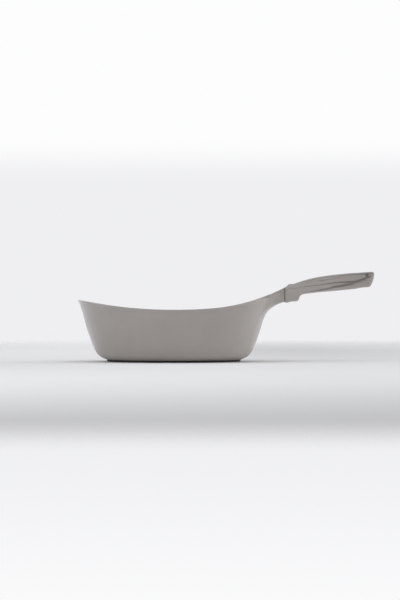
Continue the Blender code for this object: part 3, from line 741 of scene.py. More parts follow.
# %% [markdown]
# ## The seal
#
# A thin silicone plate fills the seam, so that water and grease stay out of the socket. It has the outline of
# the lug's end, a hair smaller all round, and a soft edge. Its half outline is the lug's own section, made
# into a cage.

# %% Gasket
GASKET_INSET = 0.15 * MM
GASKET_CLEARANCE = 0.05 * MM
GASKET_EDGE_CREASE = 0.9
GASKET_SMOOTH_LEVELS = 2


def build_gasket_cage(bm):
    top, low = SEAM_TOP - GASKET_INSET, SEAM_LOW + GASKET_INSET
    rows = [
        [bm.verts.new(p) for p in half_section(x, top, x, low, LUG_HALF_WIDTH - GASKET_INSET)]
        for x in (SEAM_X + GASKET_CLEARANCE, GRIP_FRONT_X - GASKET_CLEARANCE)
    ]
    bridge(bm, *rows)
    for row in rows:
        bm.faces.new(row)
        crease_row(bm, row, GASKET_EDGE_CREASE)


gasket = mesh_piece("seam_seal", build_gasket_cage)
mirror_and_smooth(gasket, GASKET_SMOOTH_LEVELS)
combine(gasket, tongue_box("seal_window", RUNNING_GAP))

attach(gasket, "root")
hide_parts("handle_gasket")
print("seal:", len(gasket.data.polygons), "faces")

# %% [markdown]
# ## Screw and washers
#
# The screw is a pan head with a cross recess. Its thread is a real helix: the shank is a fine grid, and each
# vertex moves in or out with its height less the share of a turn it stands at. The flat washer is a ring with
# rounded edges. The spring washer is a coil of one turn, cut through, whose ends stand apart in height.

# %% Screw
SCREW_HEAD_RADIUS = (screw_high.x - screw_low.x) / 2
SCREW_HEAD_HEIGHT = 2.8 * MM
SCREW_HEAD_DOME = 0.9 * MM
SCREW_HEAD_ARC_STEPS = 6
THREAD_PITCH = 0.8 * MM
THREAD_DEPTH = 0.45 * MM
THREAD_ROWS_PER_TURN = 6
THREAD_SIDES = 40
PLAIN_SHANK = 2.0 * MM
SCREW_TIP_CHAMFER = 0.6 * MM
SCREW_SEAT = screw_low.z + SCREW_HEAD_HEIGHT


def thread_radius(height, share_of_turn):
    """Radius of the shank: the crest less a V-shaped groove, with a plain stretch and a pointed tip."""
    turn = (height - SCREW_SEAT) / THREAD_PITCH - share_of_turn
    groove = 1.0 - abs(2.0 * (turn % 1.0) - 1.0)
    starts = min(max((height - SCREW_SEAT - PLAIN_SHANK) / THREAD_PITCH, 0.0), 1.0)
    to_tip = max(height - (screw_high.z - SCREW_TIP_CHAMFER), 0.0)
    return SCREW_RADIUS - starts * THREAD_DEPTH * groove - to_tip


def build_screw(bm):
    face = screw_low.z
    dome = rounded_corner((SCREW_HEAD_RADIUS, face), SCREW_HEAD_DOME, 0.0, -90.0, SCREW_HEAD_ARC_STEPS)
    head = [(0.0, face), *reversed(dome), (SCREW_HEAD_RADIUS, SCREW_SEAT)]
    rows = int((screw_high.z - SCREW_SEAT) / THREAD_PITCH * THREAD_ROWS_PER_TURN)
    shank = [(SCREW_RADIUS, h) for h in np.linspace(SCREW_SEAT, screw_high.z, rows + 1)]
    lathe(bm, [*head, *shank, (0.0, screw_high.z)], THREAD_SIDES, SCREW_PLACE)
    for vert in bm.verts:
        out = vert.co - Vector((SCREW_X, 0.0, vert.co.z))
        if vert.co.z <= SCREW_SEAT or out.length < SCREW_RADIUS / 2:
            continue
        share = atan2(out.y, out.x) / (2 * pi)
        vert.co -= out - out.normalized() * thread_radius(vert.co.z, share)
    print("thread rows:", rows)


screw = mesh_piece("pan_head_screw", build_screw)

# %% Cross recess
DRIVE_LENGTH = 5.0 * MM
DRIVE_WIDTH = 1.1 * MM
DRIVE_DEPTH = 1.6 * MM
DRIVE_TAPER = 0.45
DRIVE_TURNS = (45.0, 135.0)


def drive_wing(name, turn):
    """One wing of the cross recess, narrower at its bottom than at its mouth."""

    def build(bm):
        size = Matrix.Diagonal((DRIVE_LENGTH, DRIVE_WIDTH, 2 * DRIVE_DEPTH, 1.0))
        bmesh.ops.create_cube(bm, size=1.0, matrix=size)
        for vert in bm.verts:
            if vert.co.z > 0.0:
                vert.co.x *= DRIVE_TAPER
        place = Matrix.Translation((SCREW_X, 0.0, screw_low.z))
        bmesh.ops.transform(bm, matrix=place @ Matrix.Rotation(turn, 4, "Z"), verts=bm.verts)

    return mesh_piece(name, build)


for turn in DRIVE_TURNS:
    combine(screw, drive_wing("drive", radians(turn)))

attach(screw, "root")
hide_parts("handle_screw")
print("screw:", len(screw.data.polygons), "faces")

# %% Washers
WASHER_EDGE = 0.25 * MM
SPRING_STEPS = 60
SPRING_SPLIT = 14.0
SPRING_LIFT = 0.2 * MM
spring_low, spring_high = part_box("spring_washer")


def ring_profile(outer, low, high):
    """A closed profile of a ring round the screw: round edges outside and chamfers inside."""
    inner, edge = WASHER_BORE, WASHER_EDGE
    bore = [(inner + edge, low), (inner, low + edge), (inner, high - edge), (inner + edge, high)]
    return round_edge(outer, low, high, edge) + bore


def build_spring_washer(bm):
    outer = max(spring_high.x - SCREW_X, SCREW_X - spring_low.x)
    profile = ring_profile(outer, spring_low.z, spring_high.z - SPRING_LIFT)
    rows = []
    for share in (k / SPRING_STEPS for k in range(SPRING_STEPS + 1)):
        turn = radians(SPRING_SPLIT / 2 + share * (360.0 - SPRING_SPLIT))
        x, y, rise = cos(turn), sin(turn), share * SPRING_LIFT
        row = [bm.verts.new((SCREW_X + r * x, r * y, z + rise)) for r, z in profile]
        rows.append([*row, row[0]])
    bridge(bm, *rows)
    for row in (rows[0], rows[-1]):
        bm.faces.new(row[:-1])


flat_ring = ring_profile((washer_high.x - washer_low.x) / 2, washer_low.z, washer_high.z)
flat_washer = settle(turned("plain_washer", flat_ring, ROUND_STEPS, SCREW_PLACE, closed=True))
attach(flat_washer, "root")
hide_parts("flat_washer")
spring_washer = settle(mesh_piece("split_washer", build_spring_washer))
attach(spring_washer, "root")
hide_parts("spring_washer")
print("washers:", len(flat_washer.data.polygons), "and", len(spring_washer.data.polygons), "faces")

# %% [markdown]
# ## Tools for finishes
#
# A finish is a node tree. `put` adds one node, and `feed` sets its inputs or joins them to other nodes, which
# keeps each finish short. An output knows the tree it is in, so the helpers that work on outputs find their
# tree through them. Everything that varies over a surface comes from noise in the object's own space, so it
# stays in place from every side. Values that don't vary are set on the shader's own sockets.

# %% Node helpers
def feed(node, inputs):
    """Sets inputs of a node to values, or joins them to outputs of other nodes."""
    for key, value in inputs.items():
        if isinstance(value, bpy.types.NodeSocket):
            node.id_data.links.new(value, node.inputs[key])
        else:
            node.inputs[key].default_value = value


def put(tree, kind, inputs=None, **settings):
    node = tree.nodes.new(kind)
    for key, value in settings.items():
        setattr(node, key, value)
    feed(node, inputs or {})
    return node


def tree_of(*values):
    """The tree that the outputs among these values are in."""
    return next(value.id_data for value in values if isinstance(value, bpy.types.NodeSocket))


def calc(operation, a, b=0.0, clamp=False):
    node = put(tree_of(a, b), "ShaderNodeMath", {0: a, 1: b}, operation=operation, use_clamp=clamp)
    return node.outputs[0]


def greatest(value, *others):
    for other in others:
        value = calc("MAXIMUM", value, other)
    return value


def distance(x, y):
    return calc("SQRT", calc("ADD", calc("POWER", x, 2.0), calc("POWER", y, 2.0)))


def axes_of(where):
    """The x, y and z of a place or a direction."""
    return put(where.id_data, "ShaderNodeSeparateXYZ", {0: where}).outputs


# %% Noise and colour helpers
# the ranges that hold most of a noise's values, and the middle ones
MOST = (0.2, 0.8)
MIDDLE = (0.3, 0.7)


def noise(where, scale, detail=2.0, roughness=0.5):
    inputs = {"Vector": where, "Scale": scale, "Detail": detail, "Roughness": roughness}
    return put(where.id_data, "ShaderNodeTexNoise", inputs).outputs["Fac"]


def stretched(where, scale):
    """Coordinates scaled by a different amount along each axis."""
    return put(where.id_data, "ShaderNodeMapping", {"Vector": where, "Scale": scale}).outputs[0]


def spread(value, low, high, to_low=0.0, to_high=1.0):
    """Maps the range low to high to another range, with soft ends, and holds it outside."""
    inputs = {"Value": value, "From Min": low, "From Max": high, "To Min": to_low, "To Max": to_high}
    return put(value.id_data, "ShaderNodeMapRange", inputs, interpolation_type="SMOOTHSTEP").outputs[0]


def blend(factor, a, b, kind="MIX"):
    """One colour over another by a factor."""
    inputs = {0: factor, 6: a, 7: b}
    node = put(tree_of(factor, a, b), "ShaderNodeMix", inputs, data_type="RGBA", blend_type=kind)
    return node.outputs[2]


def shade(colour, amount):
    """A colour made lighter or darker by an amount."""
    return (*(c * amount for c in colour[:3]), 1.0)


def shades(factor, colour, low, high):
    """A colour that goes from one of its shades to another with a factor."""
    return blend(factor, shade(colour, low), shade(colour, high))


# %% Surface helpers
def new_finish(name, roughness, metallic=0.0):
    """A material, its shader, and the object's own coordinates."""
    material = bpy.data.materials.new(name)
    material.use_nodes = True
    tree = material.node_tree
    shader = tree.nodes["Principled BSDF"]
    feed(shader, {"Roughness": roughness, "Metallic": metallic})
    return material, shader, put(tree, "ShaderNodeTexCoord").outputs["Object"]


def join_surface(shader, colour, grain, roughness, relief, depth):
    """Gives the shader a colour, a range of roughness that goes with a grain, and a relief."""
    bump = put(shader.id_data, "ShaderNodeBump", {"Height": relief, "Distance": depth})
    rough = spread(grain, *MOST, *roughness)
    feed(shader, {"Base Color": colour, "Roughness": rough, "Normal": bump.outputs[0]})


def around(value, offsets):
    """A range from a value and its two offsets."""
    return [value + offset for offset in offsets]


# %% [markdown]
# ## Stone-grey coating
#
# The casting is sprayed with a satin ceramic coating and baked. Close to, a sprayed coat has a faint
# orange-peel surface and fine grains in its colour, and over a whole wok its tone drifts a little. Three
# noises at three scales give that: clouds a few centimetres wide, peel of about two millimetres, and grains
# of half a millimetre. A clear coat over it gives the sheen that grows towards the edges of the form.

# %% Coating
COATING_COLOUR = (0.272, 0.248, 0.231, 1.0)
COATING_ROUGHNESS = 0.44
COATING_UNEVEN = (-0.04, 0.05)
COATING_DRIFT = 0.035
COATING_GRAIN = 0.05
GLAZE = {"Coat Weight": 1.0, "Coat Roughness": 0.2, "Coat IOR": 1.8}
CLOUDS_PER_METRE = 22.0
PEEL_PER_METRE = 420.0
GRAINS_PER_METRE = 1700.0
GRAIN_SPAN = (0.25, 0.75)
GRAIN_RELIEF = 0.3
PEEL_HEIGHT = 0.008 * MM

coating, shader, where = new_finish("stone_grey_coating", COATING_ROUGHNESS)
feed(shader, GLAZE)
clouds = noise(where, CLOUDS_PER_METRE, 3.0)
grains = noise(where, GRAINS_PER_METRE, 2.0, 0.7)
peel = noise(where, PEEL_PER_METRE, 1.0)
drift = shades(spread(clouds, *MIDDLE), COATING_COLOUR, 1.0 - COATING_DRIFT, 1.0 + COATING_DRIFT)
level = spread(grains, *GRAIN_SPAN, 1.0 - COATING_GRAIN, 1.0 + COATING_GRAIN)
colour = blend(1.0, drift, level, "MULTIPLY")
relief = calc("ADD", peel, calc("MULTIPLY", grains, GRAIN_RELIEF))
join_surface(shader, colour, grains, around(COATING_ROUGHNESS, COATING_UNEVEN), relief, PEEL_HEIGHT)
print("coating:", len(coating.node_tree.nodes), "nodes")

# %% [markdown]
# ## Turned aluminium and turned steel
#
# The foot of the casting is faced on a lathe after coating, so bare aluminium shows round the steel disc and
# on the studs. The tool leaves fine rings about the wok's axis. A noise of the radius alone draws such rings:
# it steps finely outwards and hardly changes round the circle. The disc has the same rings, darker and finer.

# %% Turned metal
PATCHES_PER_METRE = 30.0
PATCH_WEIGHT = 0.3
PATCH_SHADE = 0.8
TURNED_UNEVEN = (-0.08, 0.1)


def make_turned_metal(name, colour, roughness, rings_per_metre, groove, tone):
    material, shader, where = new_finish(name, roughness, 1.0)
    x, y, _ = axes_of(where)
    polar = {0: calc("MULTIPLY", distance(x, y), rings_per_metre), 1: calc("ARCTAN2", y, x)}
    rings = noise(put(where.id_data, "ShaderNodeCombineXYZ", polar).outputs[0], 1.0, 4.0, 0.65)
    metal = shades(spread(rings, *MIDDLE), colour, 1.0 - tone, 1.0 + tone)
    patches = calc("MULTIPLY", noise(where, PATCHES_PER_METRE, 3.0), PATCH_WEIGHT)
    colour = blend(patches, metal, shade(colour, PATCH_SHADE))
    join_surface(shader, colour, rings, around(roughness, TURNED_UNEVEN), rings, groove)
    return material


turned_aluminium = make_turned_metal(
    "turned_aluminium", (0.70, 0.70, 0.71, 1.0), 0.34, 2600.0, 0.02 * MM, 0.10
)
turned_steel = make_turned_metal("turned_steel", (0.48, 0.47, 0.46, 1.0), 0.33, 3600.0, 0.012 * MM, 0.12)
print("turned metals:", turned_aluminium.name, turned_steel.name)

# %% [markdown]
# ## Plain stainless
#
# The screw and the flat washer are bright drawn stainless, and the spring washer and the thread insert are
# duller. Drawing leaves fine scratches that run one way, which is a noise squeezed along one axis, and
# handling leaves a slight stain here and there.

# %% Stainless for small fittings
STAINLESS_COLOUR = (0.56, 0.55, 0.54, 1.0)
STAINED_SHADE = 0.82
SCRATCHES_PER_METRE = (900.0, 5000.0, 900.0)
STAINS_PER_METRE = 260.0
STAIN_SPAN = (0.3, 0.8)
STAINLESS_UNEVEN = (-0.07, 0.12)
SCRATCH_DEPTH = 0.006 * MM


def make_stainless(name, roughness):
    material, shader, where = new_finish(name, roughness, 1.0)
    scratches = noise(stretched(where, SCRATCHES_PER_METRE), 1.0, 3.0, 0.7)
    stains = spread(noise(where, STAINS_PER_METRE, 3.0), *STAIN_SPAN)
    colour = shades(stains, STAINLESS_COLOUR, 1.0, STAINED_SHADE)
    uneven = around(roughness, STAINLESS_UNEVEN)
    join_surface(shader, colour, scratches, uneven, scratches, SCRATCH_DEPTH)
    return material


bright_stainless = make_stainless("bright_stainless", 0.28)
dull_stainless = make_stainless("dull_stainless", 0.4)
print("stainless:", bright_stainless.name, dull_stainless.name)

# %% [markdown]
# ## Painted shade on the foot
#
# The dark line where the wok meets the floor is shade in the gap under the casting. It is painted here as a
# near-black matt finish on the side of the foot, about three millimetres high, with a rough, slightly chalky
# surface.

# %% Foot painted shade
# painted shade: a near-black that stands in for the shade in the gap under the casting
FOOT_SHADE_BLACK = (0.012, 0.012, 0.012, 1.0)
CHALK_PER_METRE = 900.0
CHALK_SHADES = (0.6, 1.6)
CHALK_ROUGHNESS = (0.6, 0.8)
CHALK_DEPTH = 0.02 * MM

# the foot's side is painted near-black as shade
foot_painted_shade, shader, where = new_finish("painted_shade_foot", 0.7)
chalk = noise(where, CHALK_PER_METRE, 4.0, 0.7)
black = shades(chalk, FOOT_SHADE_BLACK, *CHALK_SHADES)
join_surface(shader, black, chalk, CHALK_ROUGHNESS, chalk, CHALK_DEPTH)
print("foot:", foot_painted_shade.name)

# %% [markdown]
# ## Silicone
#
# The seal is moulded black silicone. It is dull, with a fine eggshell texture, and the dust that clings to it
# turns it dark grey in patches.

# %% Silicone
SILICONE_COLOUR = (0.030, 0.028, 0.027, 1.0)
DUSTY_COLOUR = (0.100, 0.095, 0.092, 1.0)
EGGSHELL_PER_METRE = 2600.0
DUST_PER_METRE = 500.0
EGGSHELL_ROUGHNESS = (0.55, 0.72)
EGGSHELL_DEPTH = 0.01 * MM

silicone, shader, where = new_finish("black_silicone", 0.62)
eggshell = noise(where, EGGSHELL_PER_METRE)
dust = spread(noise(where, DUST_PER_METRE, 4.0, 0.7), *MIDDLE)
colour = blend(dust, SILICONE_COLOUR, DUSTY_COLOUR)
join_surface(shader, colour, eggshell, EGGSHELL_ROUGHNESS, eggshell, EGGSHELL_DEPTH)
print("silicone:", len(silicone.node_tree.nodes), "nodes")

# %% [markdown]
# ## Wood-grain print
#
# The handle is grey resin with a wood-grain print: faint fibres all along it, a dark streak that winds from
# the collar to the tail and thickens there, others that join it, and a dark knot by the hanging slot. A dark
# line along the top edge is partly a print line and partly painted shade, where the upper rounding catches
# less light. Streaks follow the handle, so they need coordinates that follow it too. Each vertex gets a grain
# map: its distance from the seam, and its way round the section, counted from the side's top edge. A streak
# is then a curve of one against the other.

# %% Grain map
def add_grain_map(piece):
    """Stores (distance, way round, side) in millimetres for each vertex."""
    top_x, top, low_x, low, width = GRIP_SECTIONS.T
    ways = np.linspace(0.0, top_x[-1], 2 * CURVE_STEPS)
    top, low, width = np.interp(ways, top_x, top), np.interp(ways, low_x, low), np.interp(ways, top_x, width)
    places = np.empty(3 * len(piece.data.vertices))
    piece.data.vertices.foreach_get("co", places)
    x, y, z = places.reshape(-1, 3).T
    way = x - SEAM_X
    depth = np.interp(way, ways, top) - (z - SEAM_LOW)
    height = np.interp(way, ways, top) - np.interp(way, ways, low)
    lean = 2 * depth / height - 1
    girth = depth + lean * (np.interp(way, ways, width) - np.abs(y))
    layer = piece.data.attributes.new("grain_map", "FLOAT_VECTOR", "POINT")
    layer.data.foreach_set("vector", (np.stack([way, girth, y], axis=1) / MM).ravel())
    print(f"grain map: {way.min() / MM:.1f} to {way.max() / MM:.1f} mm along")


add_grain_map(grip)

# %% [markdown]
# Each streak, and the line of print and painted shade along the top edge, is a list of (distance, way round,
# half width, darkness) in millimetres. Float curves draw the route, the width and the darkness along the
# handle, and noise makes the edges waver as grain does.

# %% Streaks
GRIP_REACH = 140.0
GIRTH_SPAN = 60.0
STREAK_EDGE = (0.25, 1.3)
MAIN_STREAK = (
    (0.0, 3.6, 0.5, 0.25), (14.6, 8.0, 0.6, 0.35), (24.5, 8.6, 0.6, 0.45), (45.6, 12.2, 0.9, 0.60),
    (64.3, 12.7, 1.2, 0.70), (81.8, 12.4, 1.5, 0.75), (104.2, 13.4, 2.0, 0.80), (118.6, 11.4, 2.0, 0.80),
    (128.0, 8.0, 2.0, 0.85), (134.0, 6.6, 1.6, 0.30), (140.0, 6.0, 1.2, 0.10),
)
SIDE_STREAK = (
    (0.0, 21.0, 0.4, 0.0), (34.0, 21.4, 0.8, 0.30), (46.0, 21.6, 1.5, 0.75), (64.3, 21.2, 2.0, 0.80),
    (77.7, 19.4, 2.4, 0.85), (93.2, 18.2, 2.8, 0.80), (104.2, 16.4, 2.8, 0.70), (112.0, 14.6, 2.2, 0.50),
    (140.0, 13.0, 0.6, 0.0),
)
UPPER_STREAK = (
    (0.0, 4.0, 0.4, 0.0), (44.5, 4.8, 0.7, 0.30), (62.2, 6.2, 0.9, 0.50), (81.8, 4.6, 0.9, 0.40),
    (105.0, 2.0, 0.8, 0.25), (140.0, 0.0, 0.6, 0.1),
)
# partly a print line and partly painted shade along the top edge, where the upper rounding catches less light
EDGE_STREAK_AND_SHADE = (
    (0.0, 1.0, 0.8, 0.0), (20.0, 1.0, 0.8, 0.10), (32.0, 0.8, 1.2, 0.45), (60.0, 0.9, 1.3, 0.45),
    (90.0, 0.8, 1.5, 0.55), (115.0, 1.0, 2.2, 0.60), (128.0, 1.4, 2.4, 0.70), (140.0, 1.0, 1.2, 0.20),
)


def float_curve(way, places, values, span):
    """A node curve of values at distances along the handle, both scaled to the unit square."""
    reached = calc("DIVIDE", way, GRIP_REACH)
    node = put(way.id_data, "ShaderNodeFloatCurve", {"Value": reached})
    points = node.mapping.curves[0].points
    while len(points) < len(places):
        points.new(0.5, 0.5)
    for point, place, value in zip(points, places, values):
        point.location = (place / GRIP_REACH, value / span)
    node.mapping.update()
    return calc("MULTIPLY", node.outputs[0], span)


def band_darkness(way, girth, streak):
    """How dark a streak or painted shade makes a place: full on its route, fading over its half width."""
    places, *columns = zip(*streak)
    spans = (GIRTH_SPAN, GIRTH_SPAN, 1.0)
    route, width, darkness = (float_curve(way, places, *pair) for pair in zip(columns, spans))
    off = calc("DIVIDE", calc("ABSOLUTE", calc("SUBTRACT", girth, route)), width)
    return calc("MULTIPLY", spread(off, *STREAK_EDGE, 1.0, 0.0), darkness)


# %% Handle's finish
PHENOLIC_COLOUR = (0.345, 0.318, 0.305, 1.0)
# the colour of the print's streaks and of the painted shade on the top edge
STREAK_AND_SHADE_COLOUR = (0.085, 0.078, 0.076, 1.0)
FIBRE_TONE = 0.07
FIBRE_RELIEF = 1.5
FIBRE_SCALES = (0.035, 1.5, 0.6)
PATCHY_SCALES = (0.2, 1.1, 0.6)
PATCHY_SPAN = (0.25, 0.6)
PATCHY_SHARES = (0.6, 1.0)
WAVER_SCALES = (0.06, 0.12, 0.10)
WAVER = 2.2
TAIL_SPAN = (60.0, 130.0)
TAIL_TONE = 0.18
KNOT_PLACE = (127.4, 3.4)
KNOT_SIZE = (3.2, 5.4)
KNOT_EDGE = (0.5, 1.2)
PORES_PER_METRE = 1500.0
PORE_ROUGHNESS = (0.45, 0.58)
PORE_DEPTH = 0.012 * MM

wood_grain, shader, where = new_finish("wood_grain_resin", 0.5)
grain = put(where.id_data, "ShaderNodeAttribute", attribute_name="grain_map").outputs["Vector"]
bend = noise(stretched(grain, WAVER_SCALES), 1.0, 3.0, 0.55)
way, girth, _ = axes_of(grain)
girth = calc("ADD", girth, calc("MULTIPLY", calc("SUBTRACT", bend, 0.5), WAVER))
off_knot = (
    calc("DIVIDE", calc("SUBTRACT", at, middle), size)
    for at, middle, size in zip((way, girth), KNOT_PLACE, KNOT_SIZE)
)
knot = spread(distance(*off_knot), *KNOT_EDGE, 1.0, 0.0)
# the print's streaks and the painted shade along the top edge
streaks_and_edge_shade = (MAIN_STREAK, SIDE_STREAK, UPPER_STREAK, EDGE_STREAK_AND_SHADE)
dark = greatest(*(band_darkness(way, girth, streak) for streak in streaks_and_edge_shade), knot)
patchy = noise(stretched(grain, PATCHY_SCALES), 1.0, 3.0, 0.6)
dark = calc("MULTIPLY", dark, spread(patchy, *PATCHY_SPAN, *PATCHY_SHARES), clamp=True)
fibres = noise(stretched(grain, FIBRE_SCALES), 1.0, 4.0, 0.65)
resin = blend(spread(way, *TAIL_SPAN, 0.0, TAIL_TONE), PHENOLIC_COLOUR, STREAK_AND_SHADE_COLOUR)
level = spread(fibres, *MIDDLE, 1.0 - FIBRE_TONE, 1.0 + FIBRE_TONE)
colour = blend(dark, blend(1.0, resin, level, "MULTIPLY"), STREAK_AND_SHADE_COLOUR)
pores = noise(where, PORES_PER_METRE)
relief = calc("ADD", pores, calc("MULTIPLY", fibres, FIBRE_RELIEF))
join_surface(shader, colour, pores, PORE_ROUGHNESS, relief, PORE_DEPTH)
print("wood grain:", len(wood_grain.node_tree.nodes), "nodes")

# %% [markdown]
# ## Putting the finishes on
#
# The casting carries three finishes. Its coated faces are the first. The faced underside and the studs, which
# all lie below the top of the disc's seat, are the second, and the foot's side with its rounded lower edge,
# painted near-black as the shade in the gap under the casting, is the third.

# %% Finish the pieces
FACED_HEIGHT = 1.5 * MM
FOOT_TOP_MARGIN = 0.15 * MM


def finish(piece, *materials):
    piece.data.materials.clear()
    for material in materials:
        piece.data.materials.append(material)


def finish_the_foot(piece):
    """Gives the second finish and the third, the painted shade, to the faces of the foot, and counts them."""
    counts = [0, 0, 0]
    for face in piece.data.polygons:
        x, y, z = face.center
        radius = hypot(x, y)
        if z < FACED_HEIGHT and radius < FOOT_RADIUS - FOOT_EDGE[0]:
            face.material_index = 1
        elif z < FOOT_HEIGHT + FOOT_TOP_MARGIN and radius < FOOT_RADIUS + FOOT_STEP:
            face.material_index = 2
        counts[face.material_index] += 1
    return counts


finish(casting, coating, turned_aluminium, foot_painted_shade)
print("coated, faced and black faces:", finish_the_foot(casting))
finish(disc, turned_steel)
finish(grip, wood_grain)
finish(gasket, silicone)
finish(screw, bright_stainless)
finish(flat_washer, bright_stainless)
finish(spring_washer, dull_stainless)
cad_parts["thread_insert"].material_slots[0].material = dull_stainless

# %% [markdown]
# ## Floor and backdrop
#
# The wok stands on a pale sweep. A real one is a sheet that curves up behind the object. A curved sheet would
# hide the wok when it is looked at from behind, so the floor here is flat and thins out to nothing further
# away, where the world's own pale colour takes its place.
#
# The Light Path node tells what kind of ray meets the floor. The camera and reflections see its tones, which
# hold painted light and shade: lighter behind on the left, darker behind on the right, and darker towards the
# front. Light that bounces off it to the wok sees an even white. From below, for shadow rays and for the very
# short rays from the wok's base, the floor is clear, so the base can be lit and looked at.

# %% Floor
FLOOR_REACH = 4.6
FLOOR_CENTRE_Y = -1.6
FLOOR_SIDES = 24
FLOOR_DROP = 0.15 * MM
UNDER_BASE_REACH = 3.0 * FLOOR_DROP
FLOOR_COLOUR = (0.75, 0.755, 0.777, 1.0)
FLOOR_BOUNCE = (0.90, 0.90, 0.91, 1.0)
BACK_FADE = (0.9, 2.95)
FRONT_FADE = (2.35, 3.0)
SIDE_FADE = (1.6, 3.0)
# behind the wok: where the tone turns, and its painted light and shade from left to right:
# lighter on the left, and darker on the right as a painted shadow
TURN_SPAN = (-0.5, 1.2)
TURN_WIDTH = (-0.25, 0.25)
TURN_PAINTED_SHADES = (1.30, 0.93)
# in front of it: where the floor gets darker, and that painted shade, for light that falls off towards the
# front
NEAR_SPAN = (-2.2, -0.6)
NEAR_PAINTED_SHADE = 0.88
PAPER_PER_METRE = 3.0
PAPER_SHADES = (0.99, 1.01)


def empty_tree(owner):
    """The node tree of a material or a world, cleared."""
    owner.use_nodes = True
    owner.node_tree.nodes.clear()
    return owner.node_tree


def put_mixed(tree, output, factor, first, second):
    """Puts two shaders, mixed by a factor, on the output of a tree."""
    mixed = put(tree, "ShaderNodeMixShader", {0: factor, 1: first.outputs[0], 2: second.outputs[0]})
    put(tree, output, {0: mixed.outputs[0]})


sweep = bpy.data.materials.new("pale_sweep")
tree = empty_tree(sweep)
where = put(tree, "ShaderNodeTexCoord").outputs["Object"]
x, y, _ = axes_of(where)
ray = put(tree, "ShaderNodeLightPath").outputs
back, front = spread(y, *BACK_FADE), spread(calc("MULTIPLY", y, -1.0), *FRONT_FADE)
side = spread(calc("ABSOLUTE", x), *SIDE_FADE)
from_below = calc("SUBTRACT", 1.0, put(tree, "ShaderNodeNewGeometry").outputs["Backfacing"])
under_base = calc("LESS_THAN", ray["Ray Length"], UNDER_BASE_REACH)
clear = greatest(back, front, side, from_below, under_base, ray["Is Shadow Ray"])
paper = shades(noise(where, PAPER_PER_METRE), FLOOR_COLOUR, *PAPER_SHADES)
# painted light and shadow behind the wok: lighter on the left, darker on the right
behind = shades(spread(x, *TURN_WIDTH), FLOOR_COLOUR, *TURN_PAINTED_SHADES)
tone = blend(spread(y, *TURN_SPAN), paper, behind)
# painted shade: the floor darker towards the front, as the light falls off
tone = blend(spread(y, *NEAR_SPAN), shade(FLOOR_COLOUR, NEAR_PAINTED_SHADE), tone)
tone = blend(greatest(ray["Is Camera Ray"], ray["Is Glossy Ray"]), FLOOR_BOUNCE, tone)
solid = put(tree, "ShaderNodeBsdfDiffuse", {"Color": tone})
put_mixed(tree, "ShaderNodeOutputMaterial", clear, solid, put(tree, "ShaderNodeBsdfTransparent"))

sheet = [(0.0, -FLOOR_DROP), (FLOOR_REACH, -FLOOR_DROP)]
floor = turned("studio_floor", sheet, FLOOR_SIDES, (0.0, FLOOR_CENTRE_Y))
finish(floor, sweep)
print(f"floor: {2 * FLOOR_REACH:.1f} m across")

# %% [markdown]
# ## Light
#
# Kitchenware is lit softly from a few large softboxes: one in front on the left, a strip on the right, a
# weaker one behind it, one above, and a weak one under the table, which the clear floor lets through to the
# base. The world itself lights the wok from overhead alone. The camera sees it as the pale backdrop, and
# reflections see that backdrop with a darker ceiling and a darker room in front. So the backdrop can be pale
# without more light on the wok.

# %% World
CEILING_STRENGTH = 0.82
CEILING_SPAN = (0.25, 0.75)
CEILING_COLOUR = (0.30, 0.30, 0.31, 1.0)
ROOM_SPAN = (0.2, 0.8)
TENT_COLOUR = (1.0, 0.995, 0.985, 1.0)
BACKDROP_COLOUR = (0.863, 0.863, 0.884, 1.0)
BACKDROP_WHITE = (0.98, 0.98, 0.985, 1.0)
WHITE_ABOVE = (0.036, 0.050)
WHITE_BELOW = (0.03, 0.12)

world = bpy.data.worlds.new("light tent")
tree = empty_tree(world)
ray = put(tree, "ShaderNodeLightPath").outputs
seen = greatest(*(ray[f"Is {kind} Ray"] for kind in ("Camera", "Glossy", "Transmission")))
_, away, up = axes_of(put(tree, "ShaderNodeTexCoord").outputs["Generated"])
above, below = spread(up, *WHITE_ABOVE), spread(calc("MULTIPLY", up, -1.0), *WHITE_BELOW)
overhead, room = spread(up, *CEILING_SPAN), spread(calc("MULTIPLY", away, -1.0), *ROOM_SPAN)
dark = calc("MULTIPLY", greatest(overhead, room), calc("SUBTRACT", 1.0, ray["Is Camera Ray"]))
pale = blend(greatest(above, below), BACKDROP_COLOUR, BACKDROP_WHITE)
backdrop = put(tree, "ShaderNodeBackground", {"Color": blend(dark, pale, CEILING_COLOUR)})
strength = spread(up, *CEILING_SPAN, 0.0, CEILING_STRENGTH)
tent = put(tree, "ShaderNodeBackground", {"Color": TENT_COLOUR, "Strength": strength})
put_mixed(tree, "ShaderNodeOutputWorld", seen, tent, backdrop)
scene.world = world
print("world:", len(tree.nodes), "nodes")

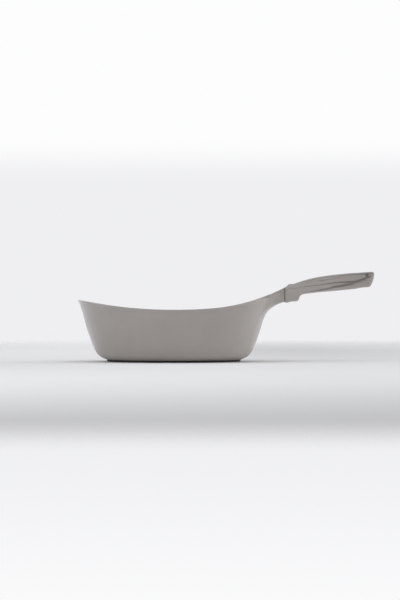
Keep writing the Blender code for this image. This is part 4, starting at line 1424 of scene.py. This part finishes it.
# %% Softboxes
# (name, place, (width, height), power in watts)
AIM = Vector((0.02, 0.0, 0.06))
SOFTBOXES = (
    ("front left softbox", (-1.35, -1.85, 0.9), (1.4, 1.4), 16.0),
    ("right strip", (2.2, 0.2, 0.3), (1.4, 0.5), 20.5),
    ("back right strip", (1.5, 1.4, 0.3), (1.4, 0.5), 9.0),
    ("top softbox", (0.0, -1.2, 2.0), (1.6, 1.6), 12.0),
    ("table light", (0.0, 0.0, -1.2), (1.0, 1.0), 4.2),
)

for name, place, size, power in SOFTBOXES:
    light = bpy.data.lights.new(name, "AREA")
    light.shape = "RECTANGLE"
    light.size, light.size_y = size
    light.energy = power
    lamp = bpy.data.objects.new(name, light)
    lamp.location = place
    lamp.rotation_euler = (AIM - Vector(place)).to_track_quat("-Z", "Y").to_euler()
    lamp.visible_camera = lamp.visible_glossy = False
    scene.collection.objects.link(lamp)
print("softboxes:", len(SOFTBOXES))

# %% [markdown]
# ## Camera
#
# The photograph was taken level, from the side and from far away: the base is a straight line, and both ends
# of the rim stand at their true heights. The camera looks along +Y from five metres, at the height of the
# picture's middle, and its lens is chosen so that a pixel at the wok is as wide as in the photograph.

# %% Camera
PIXEL = 1.55 * MM
PICTURE_WIDTH, PICTURE_HEIGHT = 400, 600
AXIS_COLUMN = 173.85
BASE_ROW = 361.68
CAMERA_DISTANCE = 5.0
SENSOR = 36.0

camera_data = bpy.data.cameras.new("level camera")
camera_data.sensor_width = SENSOR
camera_data.lens = SENSOR * CAMERA_DISTANCE / (PICTURE_HEIGHT * PIXEL)
camera = bpy.data.objects.new("level camera", camera_data)
right, up = (PICTURE_WIDTH / 2 - AXIS_COLUMN) * PIXEL, (BASE_ROW - PICTURE_HEIGHT / 2) * PIXEL
camera.location = (right, -CAMERA_DISTANCE, up)
camera.rotation_euler = (radians(90.0), 0.0, 0.0)
scene.collection.objects.link(camera)
bpy.context.scene.camera = camera
bpy.context.scene.view_settings.view_transform = "Standard"
print(f"camera: lens {camera_data.lens:.1f} mm, {up / MM:.1f} mm above the floor")
